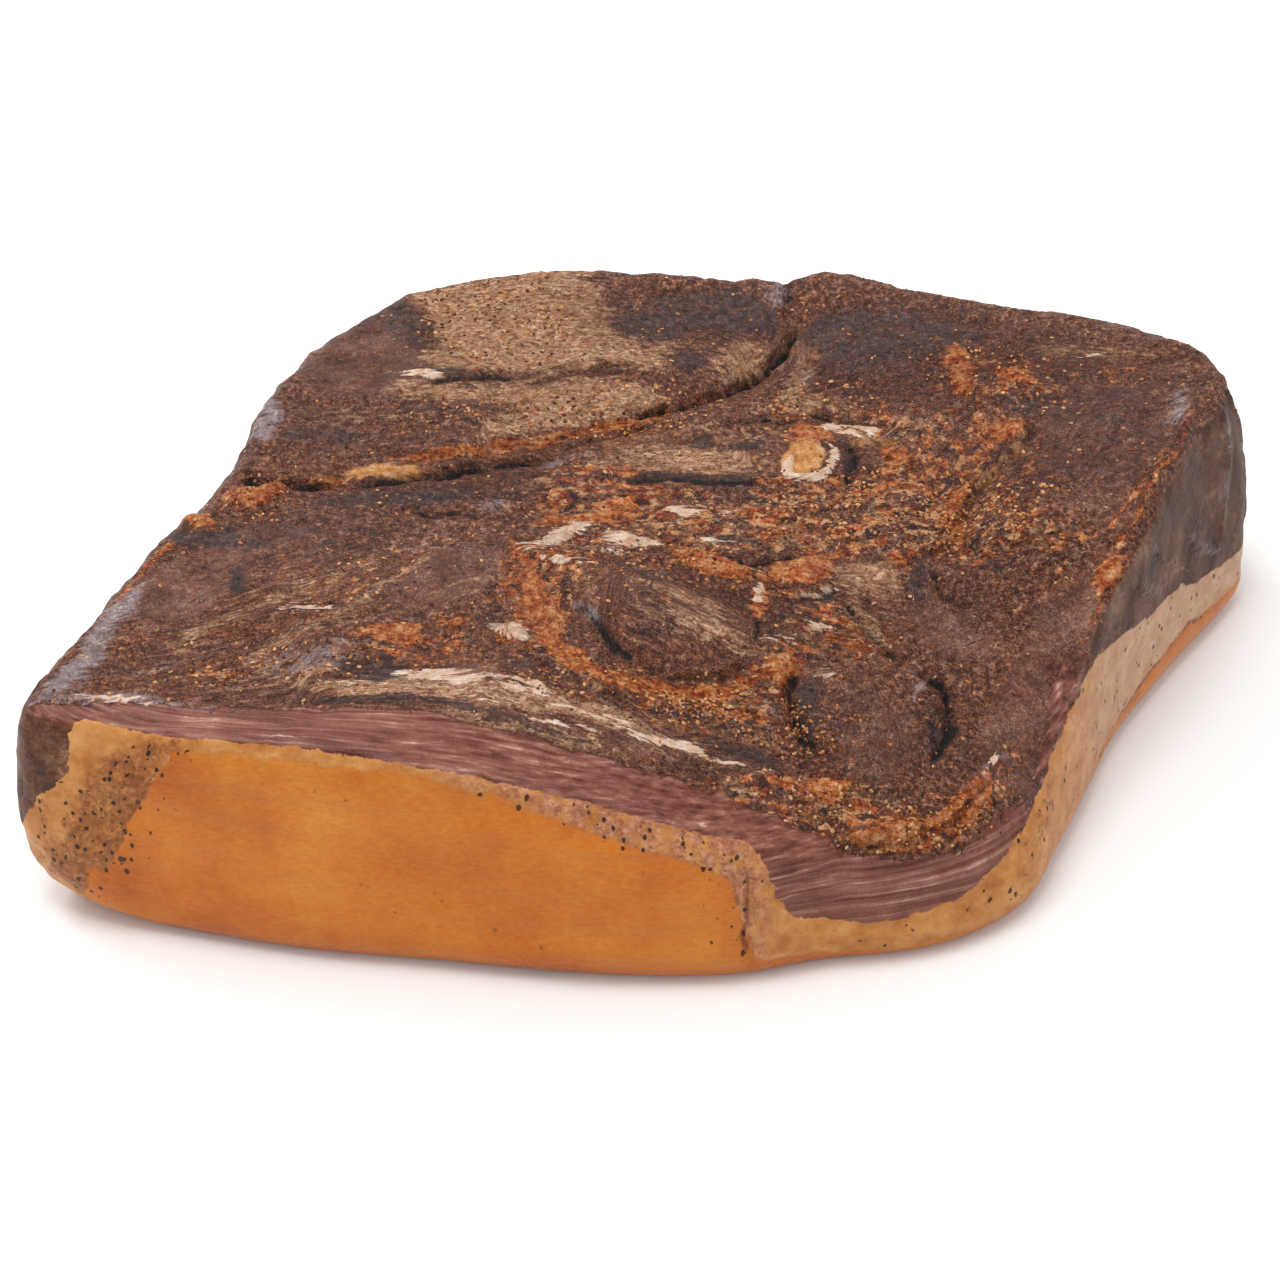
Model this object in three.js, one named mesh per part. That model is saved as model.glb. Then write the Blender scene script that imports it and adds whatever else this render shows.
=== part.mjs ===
// A boneless smoked ham: a cured hind leg, boned, pressed flat and smoked, lying rind down.
// It is one piece of meat, so it is one closed solid. Millimetres, +Z up, +X along the ham.
// The origin is under the middle of the ham, on the surface that it rests on.

import * as THREE from "three";

// Driving dimensions
const LENGTH = 425; // along X, over the widest points of the rind
const WIDTH = 300; // along Y, over the same
const RIM_HEIGHT = 93; // of the highest station of the rim, where the top face turns down
const CROWN_RISE = 1; // how far the middle of the top face stands over the mean rim
const BELLY_RISE = 4; // how far a muscle swells over the top face
const SEAM_WIDTH = 14; // across the valley between two muscles
const SEAM_DEPTH = 5; // of that valley
const MIDDLE = [0.03, 0.0]; // the pole of the top face, in shares of half the length and width

// Mesh density
const SPOKES = 132;
const TOP_RINGS = 21;
const SIDE_RINGS = 9;
const FOOT_RINGS = 4;

// Stations round the ham, anticlockwise seen from above, starting at its left tip.
// rim is the crest where the top face turns down into the side, and waist the widest line.
// x and y are shares of half the length and half the width, and z of the rim's height.
// tuck is how many millimetres the rind curves in under the waist before it lies flat.
const STATIONS = [
  { rim: [-0.970, -0.697, 0.903], waist: [-1.000, -0.711, 0.452], tuck: 24 },
  { rim: [-0.907, -0.728, 0.903], waist: [-0.953, -0.772, 0.323], tuck: 24 },
  { rim: [-0.815, -0.746, 0.882], waist: [-0.873, -0.810, 0.215], tuck: 18 },
  { rim: [-0.715, -0.792, 0.892], waist: [-0.806, -0.828, 0.161], tuck: 12 },
  { rim: [-0.546, -0.832, 0.914], waist: [-0.558, -0.910, 0.151], tuck: 10 },
  { rim: [-0.349, -0.883, 0.871], waist: [-0.356, -0.949, 0.151], tuck: 10 },
  { rim: [-0.153, -0.907, 0.796], waist: [-0.156, -0.990, 0.151], tuck: 10 },
  { rim: [-0.003, -0.940, 0.710], waist: [-0.002, -1.000, 0.140], tuck: 9 },
  { rim: [0.133, -0.935, 0.613], waist: [0.133, -0.990, 0.140], tuck: 9 },
  { rim: [0.257, -0.874, 0.538], waist: [0.260, -0.938, 0.129], tuck: 8 },
  { rim: [0.373, -0.836, 0.495], waist: [0.383, -0.912, 0.129], tuck: 8 },
  { rim: [0.469, -0.758, 0.484], waist: [0.488, -0.856, 0.129], tuck: 8 },
  { rim: [0.535, -0.644, 0.505], waist: [0.584, -0.744, 0.129], tuck: 8 },
  { rim: [0.588, -0.539, 0.559], waist: [0.636, -0.573, 0.129], tuck: 8 },
  { rim: [0.644, -0.388, 0.645], waist: [0.685, -0.409, 0.129], tuck: 8 },
  { rim: [0.695, -0.283, 0.742], waist: [0.746, -0.185, 0.118], tuck: 8 },
  { rim: [0.754, -0.148, 0.860], waist: [0.822, 0.003, 0.108], tuck: 9 },
  { rim: [0.814, 0.068, 0.968], waist: [0.893, 0.163, 0.108], tuck: 10 },
  { rim: [0.872, 0.287, 1.000], waist: [0.954, 0.295, 0.108], tuck: 10 },
  { rim: [0.922, 0.451, 1.000], waist: [1.000, 0.414, 0.129], tuck: 12 },
  { rim: [0.911, 0.570, 0.989], waist: [0.948, 0.598, 0.161], tuck: 12 },
  { rim: [0.828, 0.665, 0.978], waist: [0.860, 0.731, 0.161], tuck: 12 },
  { rim: [0.701, 0.744, 0.968], waist: [0.723, 0.817, 0.161], tuck: 12 },
  { rim: [0.538, 0.818, 0.968], waist: [0.556, 0.887, 0.161], tuck: 12 },
  { rim: [0.398, 0.879, 0.968], waist: [0.410, 0.944, 0.161], tuck: 12 },
  { rim: [0.299, 0.931, 0.978], waist: [0.305, 0.984, 0.161], tuck: 12 },
  { rim: [0.243, 0.915, 0.968], waist: [0.246, 0.975, 0.161], tuck: 12 },
  { rim: [0.122, 0.906, 0.968], waist: [0.123, 0.979, 0.161], tuck: 12 },
  { rim: [-0.016, 0.918, 0.978], waist: [-0.014, 0.985, 0.161], tuck: 12 },
  { rim: [-0.152, 0.944, 0.989], waist: [-0.154, 0.997, 0.161], tuck: 12 },
  { rim: [-0.237, 0.942, 0.968], waist: [-0.247, 1.000, 0.161], tuck: 12 },
  { rim: [-0.390, 0.881, 0.957], waist: [-0.414, 0.938, 0.161], tuck: 12 },
  { rim: [-0.494, 0.758, 0.957], waist: [-0.531, 0.810, 0.161], tuck: 12 },
  { rim: [-0.589, 0.574, 0.957], waist: [-0.634, 0.611, 0.161], tuck: 12 },
  { rim: [-0.650, 0.360, 0.968], waist: [-0.697, 0.390, 0.161], tuck: 12 },
  { rim: [-0.672, 0.205, 0.946], waist: [-0.720, 0.233, 0.161], tuck: 12 },
  { rim: [-0.725, 0.032, 0.946], waist: [-0.773, 0.060, 0.161], tuck: 12 },
  { rim: [-0.813, -0.215, 0.946], waist: [-0.855, -0.187, 0.161], tuck: 12 },
  { rim: [-0.893, -0.481, 0.935], waist: [-0.927, -0.458, 0.280], tuck: 16 },
  { rim: [-0.945, -0.613, 0.925], waist: [-0.972, -0.603, 0.366], tuck: 20 },
];

// Muscles that swell over the top face: middle, half-axes and turn in degrees, in the same shares.
const BELLIES = [
  { name: "back left muscle", at: [-0.27, 0.52], reach: [0.42, 0.36], turn: 0 },
  { name: "back right muscle", at: [0.58, 0.5], reach: [0.32, 0.42], turn: -20 },
  { name: "left muscle", at: [-0.6, -0.26], reach: [0.3, 0.36], turn: -25 },
  { name: "oval muscle", at: [0.01, -0.37], reach: [0.16, 0.17], turn: -30 },
  { name: "round muscle", at: [0.33, -0.62], reach: [0.13, 0.26], turn: 0 },
];

// Valleys where two muscles meet, each a line of points over the top face.
const SEAMS = [
  { name: "main seam", line: [[-0.69, 0.13], [-0.6, 0.11], [-0.49, 0.15], [-0.26, 0.23], [-0.16, 0.27]] },
  { name: "branch seam", line: [[-0.22, 0.3], [-0.05, 0.37], [0.03, 0.45], [0.1, 0.51]] },
  { name: "deep cleft", line: [[0.1, 0.51], [0.17, 0.59], [0.21, 0.69], [0.23, 0.8]] },
  { name: "right seam", line: [[0.56, 0.33], [0.54, 0.2], [0.49, 0.05], [0.48, -0.09]] },
  { name: "oval seam", line: [[-0.14, -0.31], [-0.1, -0.4], [-0.04, -0.5], [0.04, -0.53], [0.12, -0.49]] },
];

const halfLength = LENGTH / 2;
const halfWidth = WIDTH / 2;

const placed = ([x, y, z = 0]) => new THREE.Vector3(x * halfLength, y * halfWidth, z * RIM_HEIGHT);

const closedCurve = (points) => new THREE.CatmullRomCurve3(points, true, "centripetal");

const rimCurve = closedCurve(STATIONS.map(({ rim }) => placed(rim)));
const waistCurve = closedCurve(STATIONS.map(({ waist }) => placed(waist)));
const tuckCurve = closedCurve(STATIONS.map(({ tuck }, i) => new THREE.Vector3(i, tuck, 0)));

const rimHeights = STATIONS.map(({ rim }) => rim[2] * RIM_HEIGHT);
const meanRim = rimHeights.reduce((sum, height) => sum + height) / rimHeights.length;
const middle = placed(MIDDLE).setZ(meanRim + CROWN_RISE);

// How far the muscles lift the top face at a point of the plan.
function bellyLift(point) {
  let lift = 0;
  for (const { at, reach, turn } of BELLIES) {
    const away = point.clone().sub(placed(at)).setZ(0);
    away.applyAxisAngle(new THREE.Vector3(0, 0, 1), -THREE.MathUtils.degToRad(turn));
    const share = Math.hypot(away.x / (reach[0] * halfLength), away.y / (reach[1] * halfWidth));
    if (share < 1) lift = Math.max(lift, BELLY_RISE * (1 - share ** 2));
  }
  return lift;
}

const seamLines = SEAMS.map(({ line }) =>
  new THREE.CatmullRomCurve3(line.map((point) => placed(point))).getPoints(40),
);

// How deep the valleys cut at a point of the plan.
function seamDrop(point) {
  let nearest = Infinity;
  for (const line of seamLines) {
    for (const mark of line) {
      nearest = Math.min(nearest, Math.hypot(point.x - mark.x, point.y - mark.y));
    }
  }
  return SEAM_DEPTH * Math.exp(-((nearest / (SEAM_WIDTH / 2)) ** 2));
}

// The top face along one spoke: share 0 is its pole and 1 the rim. Near the pole the spokes
// fan out evenly, and further out each bends to its own station.
function topPoint(spokeShare, rim, share) {
  const first = rimCurve.getPoint(0);
  const angle = Math.atan2(first.y, first.x) + spokeShare * 2 * Math.PI;
  const reach = Math.hypot(rim.x - middle.x, rim.y - middle.y);
  const direction = new THREE.Vector3(Math.cos(angle), Math.sin(angle), 0);
  const fan = middle.clone().addScaledVector(direction, reach);
  const point = middle.clone().lerp(fan.lerp(rim, share), share);
  point.z = THREE.MathUtils.lerp(middle.z, rim.z, share ** 2);
  const held = 1 - share ** 6; // the rim keeps its own height
  point.z += (bellyLift(point) - seamDrop(point)) * held;
  return point;
}

// The side down one spoke: share 0 is the rim and 1 the waist, where it is upright.
function sidePoint(rim, waist, share) {
  const turn = (share * Math.PI) / 2;
  const point = rim.clone().lerp(waist, Math.sin(turn));
  point.z = THREE.MathUtils.lerp(waist.z, rim.z, Math.cos(turn));
  return point;
}

// The rind's foot under the waist: share 0 is the waist and 1 the edge of the flat underside.
function footPoint(waist, tuck, share) {
  const turn = (share * Math.PI) / 2;
  const inwards = new THREE.Vector3(-waist.x, -waist.y, 0).normalize();
  const point = waist.clone().addScaledVector(inwards, tuck * (1 - Math.cos(turn)));
  point.z = waist.z * (1 - Math.sin(turn));
  return point;
}

// Rings from the pole of the top face out to the rim, down the side and in under the foot.
function hamRings() {
  const rings = [];
  const addRing = (pointOn) => {
    const ring = [];
    for (let spoke = 0; spoke < SPOKES; spoke++) {
      const spokeShare = spoke / SPOKES;
      const rim = rimCurve.getPoint(spokeShare);
      const waist = waistCurve.getPoint(spokeShare);
      ring.push(pointOn(rim, waist, spokeShare));
    }
    rings.push(ring);
  };
  for (let i = 1; i <= TOP_RINGS; i++) {
    const share = 1 - (1 - i / TOP_RINGS) ** 1.4; // rings lie closer together near the rim
    addRing((rim, waist, spokeShare) => topPoint(spokeShare, rim, share));
  }
  for (let i = 1; i <= SIDE_RINGS; i++) {
    addRing((rim, waist) => sidePoint(rim, waist, i / SIDE_RINGS));
  }
  for (let i = 1; i <= FOOT_RINGS; i++) {
    addRing((rim, waist, spokeShare) => footPoint(waist, tuckCurve.getPoint(spokeShare).y, i / FOOT_RINGS));
  }
  return rings;
}

// One closed surface: the rings joined by triangles, with a cap at the top and a flat underside.
function hamGeometry() {
  const rings = hamRings();
  const top = topPoint(0, middle, 0);
  const under = middle.clone().setZ(0);
  const points = [top, ...rings.flat(), under];
  const faces = [];
  const index = (ring, spoke) => 1 + ring * SPOKES + (spoke % SPOKES);
  const last = rings.length - 1;
  for (let spoke = 0; spoke < SPOKES; spoke++) {
    faces.push(0, index(0, spoke), index(0, spoke + 1));
    for (let ring = 0; ring < last; ring++) {
      const a = index(ring, spoke);
      const b = index(ring, spoke + 1);
      const c = index(ring + 1, spoke);
      const d = index(ring + 1, spoke + 1);
      faces.push(a, c, d, a, d, b);
    }
    faces.push(points.length - 1, index(last, spoke + 1), index(last, spoke));
  }
  const geometry = new THREE.BufferGeometry().setFromPoints(points).setIndex(faces);
  geometry.computeBoundingBox();
  const centre = geometry.boundingBox.getCenter(new THREE.Vector3());
  geometry.translate(-centre.x, -centre.y, 0);
  geometry.computeVertexNormals();
  return geometry;
}

const curedMeat = new THREE.MeshStandardMaterial({ color: 0x4a2c22, roughness: 0.5, metalness: 0 });

const ham = new THREE.Group();
const meat = new THREE.Mesh(hamGeometry(), curedMeat);
meat.name = "smoked_ham";
ham.add(meat);

export default ham;
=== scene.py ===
# %% [markdown]
# # A smoked ham, rind down
# A boneless smoked ham is one hind leg, boned, pressed flat, salted and smoked until the outside
# is dark and dry. From above it shows the cut face: lean muscles with dark seams between them,
# smoked fat, and a coat of spice. Round the side runs a band of fat, and under it the rind.
# The ham is one piece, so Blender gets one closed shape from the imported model, and this script
# gives it the fine relief, the colours of each tissue, and the crumbs that cling to it.

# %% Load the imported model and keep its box
import math

import bmesh
import bpy
import numpy as np
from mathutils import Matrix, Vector


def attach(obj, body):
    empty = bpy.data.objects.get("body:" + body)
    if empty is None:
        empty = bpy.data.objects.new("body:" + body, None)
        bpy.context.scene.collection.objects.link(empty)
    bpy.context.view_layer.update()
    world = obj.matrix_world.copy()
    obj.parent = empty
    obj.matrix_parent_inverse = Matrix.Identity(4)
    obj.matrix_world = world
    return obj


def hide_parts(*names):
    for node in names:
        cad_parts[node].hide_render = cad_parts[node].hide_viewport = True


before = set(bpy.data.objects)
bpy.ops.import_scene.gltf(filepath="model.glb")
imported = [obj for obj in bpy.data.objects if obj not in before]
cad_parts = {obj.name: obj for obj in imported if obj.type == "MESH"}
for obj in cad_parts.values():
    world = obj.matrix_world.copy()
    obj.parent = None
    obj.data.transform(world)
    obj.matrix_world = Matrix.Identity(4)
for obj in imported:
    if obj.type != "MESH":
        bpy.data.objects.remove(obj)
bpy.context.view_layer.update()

MM = 0.001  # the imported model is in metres, and sizes on a ham are easier to read in millimetres
HAM = "smoked_ham"

# %% [markdown]
# ## One fine, even skin of faces
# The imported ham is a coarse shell. Fine relief needs small faces of even size everywhere.
# Subdividing would keep the long thin faces of the shell, so a voxel remesh is used instead:
# it fills the shape with small cubes and draws a new skin round them. The underside lies on the
# table and stays flat, so its thousands of tiny faces are melted into one flat sheet.

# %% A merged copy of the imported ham
VOXEL = 1.6  # mm, one face of the new skin
FLAT_BAND = 0.6  # mm above the table that counts as the underside
SAME_CORNER = 0.001  # mm, corners that lie closer than this are joined
SOFTENING = 14  # rounds of smoothing that take the shell's facets away


def merged_copy(node):
    """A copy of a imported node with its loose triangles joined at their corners."""
    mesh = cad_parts[node].data.copy()
    shell = bmesh.new()
    shell.from_mesh(mesh)
    bmesh.ops.remove_doubles(shell, verts=shell.verts, dist=SAME_CORNER * MM)
    shell.to_mesh(mesh)
    shell.free()
    mesh.materials.clear()
    copy = bpy.data.objects.new("cured_ham", mesh)
    bpy.context.scene.collection.objects.link(copy)
    return copy


def apply_modifiers(piece):
    """Turn what the modifiers make into the piece's own mesh."""
    evaluated = piece.evaluated_get(bpy.context.evaluated_depsgraph_get())
    mesh = bpy.data.meshes.new_from_object(evaluated)
    piece.modifiers.clear()
    piece.data = mesh


ham = merged_copy(HAM)
remesh = ham.modifiers.new("even skin", "REMESH")
remesh.mode = "VOXEL"
remesh.voxel_size = VOXEL * MM
soften = ham.modifiers.new("soften facets", "SMOOTH")
soften.factor = 0.5
soften.iterations = SOFTENING
apply_modifiers(ham)
print("even skin:", len(ham.data.vertices), "points")


# %% Melt the flat underside into one sheet
def melt_underside(piece):
    """Flatten the faces on the table and join them into a few large ones."""
    shell = bmesh.new()
    shell.from_mesh(piece.data)
    for vert in shell.verts:
        if vert.co.z < FLAT_BAND * MM:
            vert.co.z = 0.0
    flat = [face for face in shell.faces if all(vert.co.z == 0.0 for vert in face.verts)]
    sheet = bmesh.ops.dissolve_faces(shell, faces=flat, use_verts=True)["region"]
    bmesh.ops.triangulate(shell, faces=sheet)
    shell.normal_update()
    shell.to_mesh(piece.data)
    shell.free()


melt_underside(ham)
triangles = sum(len(face.vertices) - 2 for face in ham.data.polygons)
print("after melting the underside:", len(ham.data.vertices), "points,", triangles, "triangles")

# %% [markdown]
# ## Where a point of the ham is
# Every feature is placed with one of two maps. On the cut top a point is found by its plan,
# x and y in millimetres from the middle of the ham. On the side it is found by its walk, which
# is how far it lies round the outline, anticlockwise from the left tip, and by its height.
# Numpy holds one number for each point of the mesh, so a whole map is a single line of code.

# %% Points, normals and slopes in millimetres
def read_points(mesh):
    """Places (in mm) and normals of all points of a mesh."""
    places = np.empty(len(mesh.vertices) * 3, np.float32)
    normals = np.empty(len(mesh.vertices) * 3, np.float32)
    mesh.vertices.foreach_get("co", places)
    mesh.vertices.foreach_get("normal", normals)
    return places.reshape(-1, 3).astype(float) / MM, normals.reshape(-1, 3).astype(float)


def soft_step(value, low, high):
    """0 below low, 1 above high, and a smooth slope between them."""
    share = np.clip((value - low) / (high - low), 0.0, 1.0)
    return share * share * (3.0 - 2.0 * share)


point, normal = read_points(ham.data)
on_top = soft_step(normal[:, 2], 0.35, 0.65)
height = point[:, 2]
print("share of points on the cut top:", round(float(on_top.mean()), 2))

# %% The walk round the outline
LEFT_TIP = (-212.0, -106.0)  # mm, where the walk starts
OUTLINE_STEPS = 360
OUTLINE_BAND = (4.0, 60.0)  # mm, the heights that the outline is measured at
OUTLINE_BLUR = 3  # steps on each side that the outline is averaged over


def outline_walk(places):
    """How far round and how far outside the outline each point lies, and its length, in mm."""
    angle = np.arctan2(places[:, 1], places[:, 0])
    radius = np.hypot(places[:, 0], places[:, 1])
    band = (places[:, 2] > OUTLINE_BAND[0]) & (places[:, 2] < OUTLINE_BAND[1])
    step = np.floor((angle + np.pi) / (2 * np.pi) * OUTLINE_STEPS).astype(int) % OUTLINE_STEPS
    reach = np.zeros(OUTLINE_STEPS)
    np.maximum.at(reach, step[band], radius[band])
    blur = range(-OUTLINE_BLUR, OUTLINE_BLUR + 1)
    reach = np.mean([np.roll(reach, shift) for shift in blur], axis=0)
    turns = (np.arange(OUTLINE_STEPS) + 0.5) / OUTLINE_STEPS * 2 * np.pi - np.pi
    corner = np.stack([reach * np.cos(turns), reach * np.sin(turns)], axis=1)
    stretch = np.hypot(*(np.roll(corner, -1, axis=0) - corner).T)
    walked = np.concatenate([[-stretch[-1], 0.0], np.cumsum(stretch)])
    turns = np.concatenate([[turns[-1] - 2 * np.pi], turns, [turns[0] + 2 * np.pi]])
    reach = np.concatenate([[reach[-1]], reach, [reach[0]]])
    start = np.interp(math.atan2(LEFT_TIP[1], LEFT_TIP[0]), turns, walked)
    whole = walked[-1]
    outside = radius - np.interp(angle, turns, reach)
    return (np.interp(angle, turns, walked) - start) % whole, outside, whole


walk, outside, whole_walk = outline_walk(point)
print("outline of the ham:", round(whole_walk), "mm")

# %% [markdown]
# ## Noise that repeats on every run
# Meat is never even, so every feature needs some disorder. Blender's texture nodes make it for
# colours, but points that move need numbers here. This is value noise: each corner of a grid
# gets a number worked out from its own place, and between the corners the numbers are blended.
# It has no random state, so the ham is the same each time.

# %% Value noise and its sum over several sizes
def value_noise(places, size, seed=0):
    """Smooth noise between -1 and 1. size is in mm: one number, or one for each direction."""
    scaled = places / np.asarray(size, float)
    cell = np.floor(scaled).astype(np.int64)
    inner = scaled - cell
    inner = inner * inner * (3.0 - 2.0 * inner)
    total = np.zeros(len(places))
    for corner in range(8):  # the large numbers below only shuffle a corner's place into its number
        step = np.array([corner & 1, corner >> 1 & 1, corner >> 2 & 1])
        grid = cell + step
        mixed = grid[:, 0] * 73856093 ^ grid[:, 1] * 19349663 ^ grid[:, 2] * 83492791
        mixed = (mixed ^ seed * 2654435761) & 0xFFFFFFFF
        mixed = (mixed ^ mixed >> 15) * 2246822519 & 0xFFFFFFFF
        mixed = (mixed ^ mixed >> 13) * 3266489917 & 0xFFFFFFFF
        weight = np.prod(np.where(step, inner, 1.0 - inner), axis=1)
        total += weight * ((mixed ^ mixed >> 16) / 0xFFFFFFFF * 2.0 - 1.0)
    return total


def rough_noise(places, size, layers=3, seed=0):
    """Value noise summed over sizes that halve, as strong as its largest layer."""
    size = np.asarray(size, float)
    return sum(value_noise(places, size / 2**i, seed + i) / 2**i for i in range(layers))


print("noise at three points:", value_noise(point[:3], 10.0).round(3))

# %% [markdown]
# ## The grain of the meat
# Lean meat is a bundle of fibres, and each muscle has its own direction. The grain map turns
# a point into two coordinates, along and across the fibres of its muscle. Noise that is
# stretched along the grain then gives fibres, ragged edges and drawn-out streaks. A muscle is
# chosen by the nearest of these anchors. Where two muscles meet, the grain bends from one to the
# other over a few millimetres, because a hard border would tear the noise that is laid on it.

# %% Anchors of the grain on the cut top
MUSCLE_GRAIN = [  # x, y of an anchor in mm, and the fibres' direction in degrees from +X
    ((-80, 110), 2), ((-100, 60), 8), ((-30, 60), 12), ((0, 105), -6),
    ((90, 100), -12), ((150, 75), -8), ((75, 75), 4), ((165, 30), 60),
    ((-150, -35), 32), ((-95, -25), 36), ((-60, -50), 40), ((-140, -85), 14),
    ((-90, -88), -4), ((-30, -98), -14), ((-20, 10), 0), ((20, 5), -4),
    ((65, 10), 8), ((10, -55), -24), ((-40, -50), 84), ((20, -88), 12),
    ((50, -40), -20), ((70, -92), 82), ((110, -75), 66), ((130, -10), 24),
    ((110, 30), 64), ((52, 110), 78), ((60, 45), -30), ((65, -124), 4),
]
NEIGHBOUR_REACH = 62.0  # mm, the furthest that two anchors may be apart to count as neighbours
BEND_WIDTH = 4.0  # mm over which the grain bends
BORDER_WANDER = 6.0  # mm that the borders between muscles wander
LEAST_CROSSING = 0.04  # the least sine of the angle that fibres of two muscles count as crossing at


def muscle_frames():
    """Anchors, directions along and across the fibres, and a shift of the grain for each anchor.

    The shifts make neighbours agree halfway between them, most of all where their fibres run alike.
    """
    anchors = np.array([anchor for anchor, _ in MUSCLE_GRAIN], float)
    turn = np.radians([direction for _, direction in MUSCLE_GRAIN])
    along = np.stack([np.cos(turn), np.sin(turn)], axis=1)
    across = np.stack([-np.sin(turn), np.cos(turn)], axis=1)
    count = len(anchors)
    pairs = [(a, b) for a in range(count) for b in range(a)
             if np.linalg.norm(anchors[a] - anchors[b]) < NEIGHBOUR_REACH]
    rows = np.zeros((len(pairs) + 1, count))
    gaps = np.zeros((len(pairs) + 1, 2))
    rows[-1, 0] = 1.0
    for row, (a, b) in enumerate(pairs):
        between = (anchors[a] + anchors[b]) / 2
        likeness = 1.0 / (LEAST_CROSSING + abs(math.sin(turn[a] - turn[b])))
        rows[row, a], rows[row, b] = likeness, -likeness
        gaps[row] = (along[b] - along[a]) @ between, (across[b] - across[a]) @ between
        gaps[row] *= likeness
    return anchors, along, across, np.linalg.lstsq(rows, gaps, rcond=None)[0]


def grain_map(places):
    """Along, across and up in mm, in the grain of the muscles, bending from one muscle to the next."""
    anchors, along, across, shift = muscle_frames()
    wander = np.stack([rough_noise(places, 22.0, 3, 11), rough_noise(places, 22.0, 3, 17)], axis=1)
    shaken = places[:, :2] + BORDER_WANDER * wander
    far = np.linalg.norm(shaken[:, None] - anchors[None], axis=2)
    weight = np.exp((far.min(axis=1)[:, None] - far) / BEND_WIDTH)
    weight /= weight.sum(axis=1)[:, None]
    forward = (weight * (places[:, :2] @ along.T + shift[:, 0])).sum(axis=1)
    sideways = (weight * (places[:, :2] @ across.T + shift[:, 1])).sum(axis=1)
    return np.stack([forward, sideways, places[:, 2]], axis=1)


def side_map(places):
    """Walk, height, and distance outside the outline, which is the grain of the rind and the crest."""
    return np.stack([walk, places[:, 2], outside], axis=1)


grain = grain_map(point)
beside = side_map(point)
print("muscles:", len(MUSCLE_GRAIN))

# %% [markdown]
# ## Drawing on the ham
# Seams, patches of fat and spots of spice are all drawn with three simple pens: a stroke along
# a line, an oval spot, and an area with a corner list. Each pen answers how many millimetres
# a point lies inside its mark, so marks can be joined, softened or made ragged afterwards.

# %% The three pens
PEN_REACH = 25.0  # mm, past which a pen doesn't measure


def smooth_line(corners, steps=6):
    """A flowing line through the corners (Catmull-Rom)."""
    corners = np.asarray(corners, float)
    if len(corners) < 3:
        return corners
    padded = np.vstack([2 * corners[0] - corners[1], corners, 2 * corners[-1] - corners[-2]])
    flowing = []
    for a, b, c, d in zip(padded, padded[1:], padded[2:], padded[3:]):
        for share in np.arange(steps) / steps:
            bend = 2 * b + (c - a) * share + (2 * a - 5 * b + 4 * c - d) * share**2
            flowing.append((bend + (3 * b - a - 3 * c + d) * share**3) / 2)
    return np.array(flowing + [corners[-1]])


def near_line(plan, line):
    """Distance to a line up to the pen's reach, share of the way along it, and side (+1 is left)."""
    low, high = line.min(axis=0) - PEN_REACH, line.max(axis=0) + PEN_REACH
    near = np.flatnonzero(np.all((plan > low) & (plan < high), axis=1))
    best = np.full(len(plan), PEN_REACH)
    share = np.zeros(len(plan))
    side = np.ones(len(plan))
    spans = np.linalg.norm(np.diff(line, axis=0), axis=1)
    done, total = 0.0, spans.sum()
    for start, end, span in zip(line, line[1:], spans):
        forward = (end - start) / span
        away = plan[near] - start
        reach = np.clip(away @ forward, 0.0, span)
        distance = np.linalg.norm(away - reach[:, None] * forward, axis=1)
        closer = distance < best[near]
        hit = near[closer]
        best[hit] = distance[closer]
        share[hit] = (done + reach[closer]) / total
        turn = forward[0] * away[closer, 1] - forward[1] * away[closer, 0]
        side[hit] = np.where(turn > 0, 1.0, -1.0)
        done += span
    return best, share, side


def stroke(plan, line, half_width, taper=True):
    """mm inside a stroke, which narrows to nothing at both ends if it tapers."""
    distance, share, _ = near_line(plan, smooth_line(line))
    width = half_width * (np.minimum(1.0, 5.0 * np.minimum(share, 1 - share)) if taper else 1.0)
    return width - distance


def spot(plan, middle, half_long, half_wide, turn=0.0):
    """mm inside an oval."""
    away = plan - np.asarray(middle, float)
    c, s = math.cos(math.radians(turn)), math.sin(math.radians(turn))
    ring = np.hypot((away[:, 0] * c + away[:, 1] * s) / half_long,
                    (away[:, 1] * c - away[:, 0] * s) / half_wide)
    return (1.0 - ring) * min(half_long, half_wide)


def area(plan, corners):
    """mm inside a closed outline."""
    outline = smooth_line(list(corners) + [corners[0]])
    distance, _, _ = near_line(plan, outline)
    inside = np.zeros(len(plan), bool)
    for start, end in zip(outline, np.roll(outline, -1, axis=0)):
        crosses = (start[1] > plan[:, 1]) != (end[1] > plan[:, 1])
        rise = end[1] - start[1] if end[1] != start[1] else 1e-9
        at = start[0] + (plan[:, 1] - start[1]) / rise * (end[0] - start[0])
        inside ^= crosses & (plan[:, 0] < at)
    return np.where(inside, distance, -distance)


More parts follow.
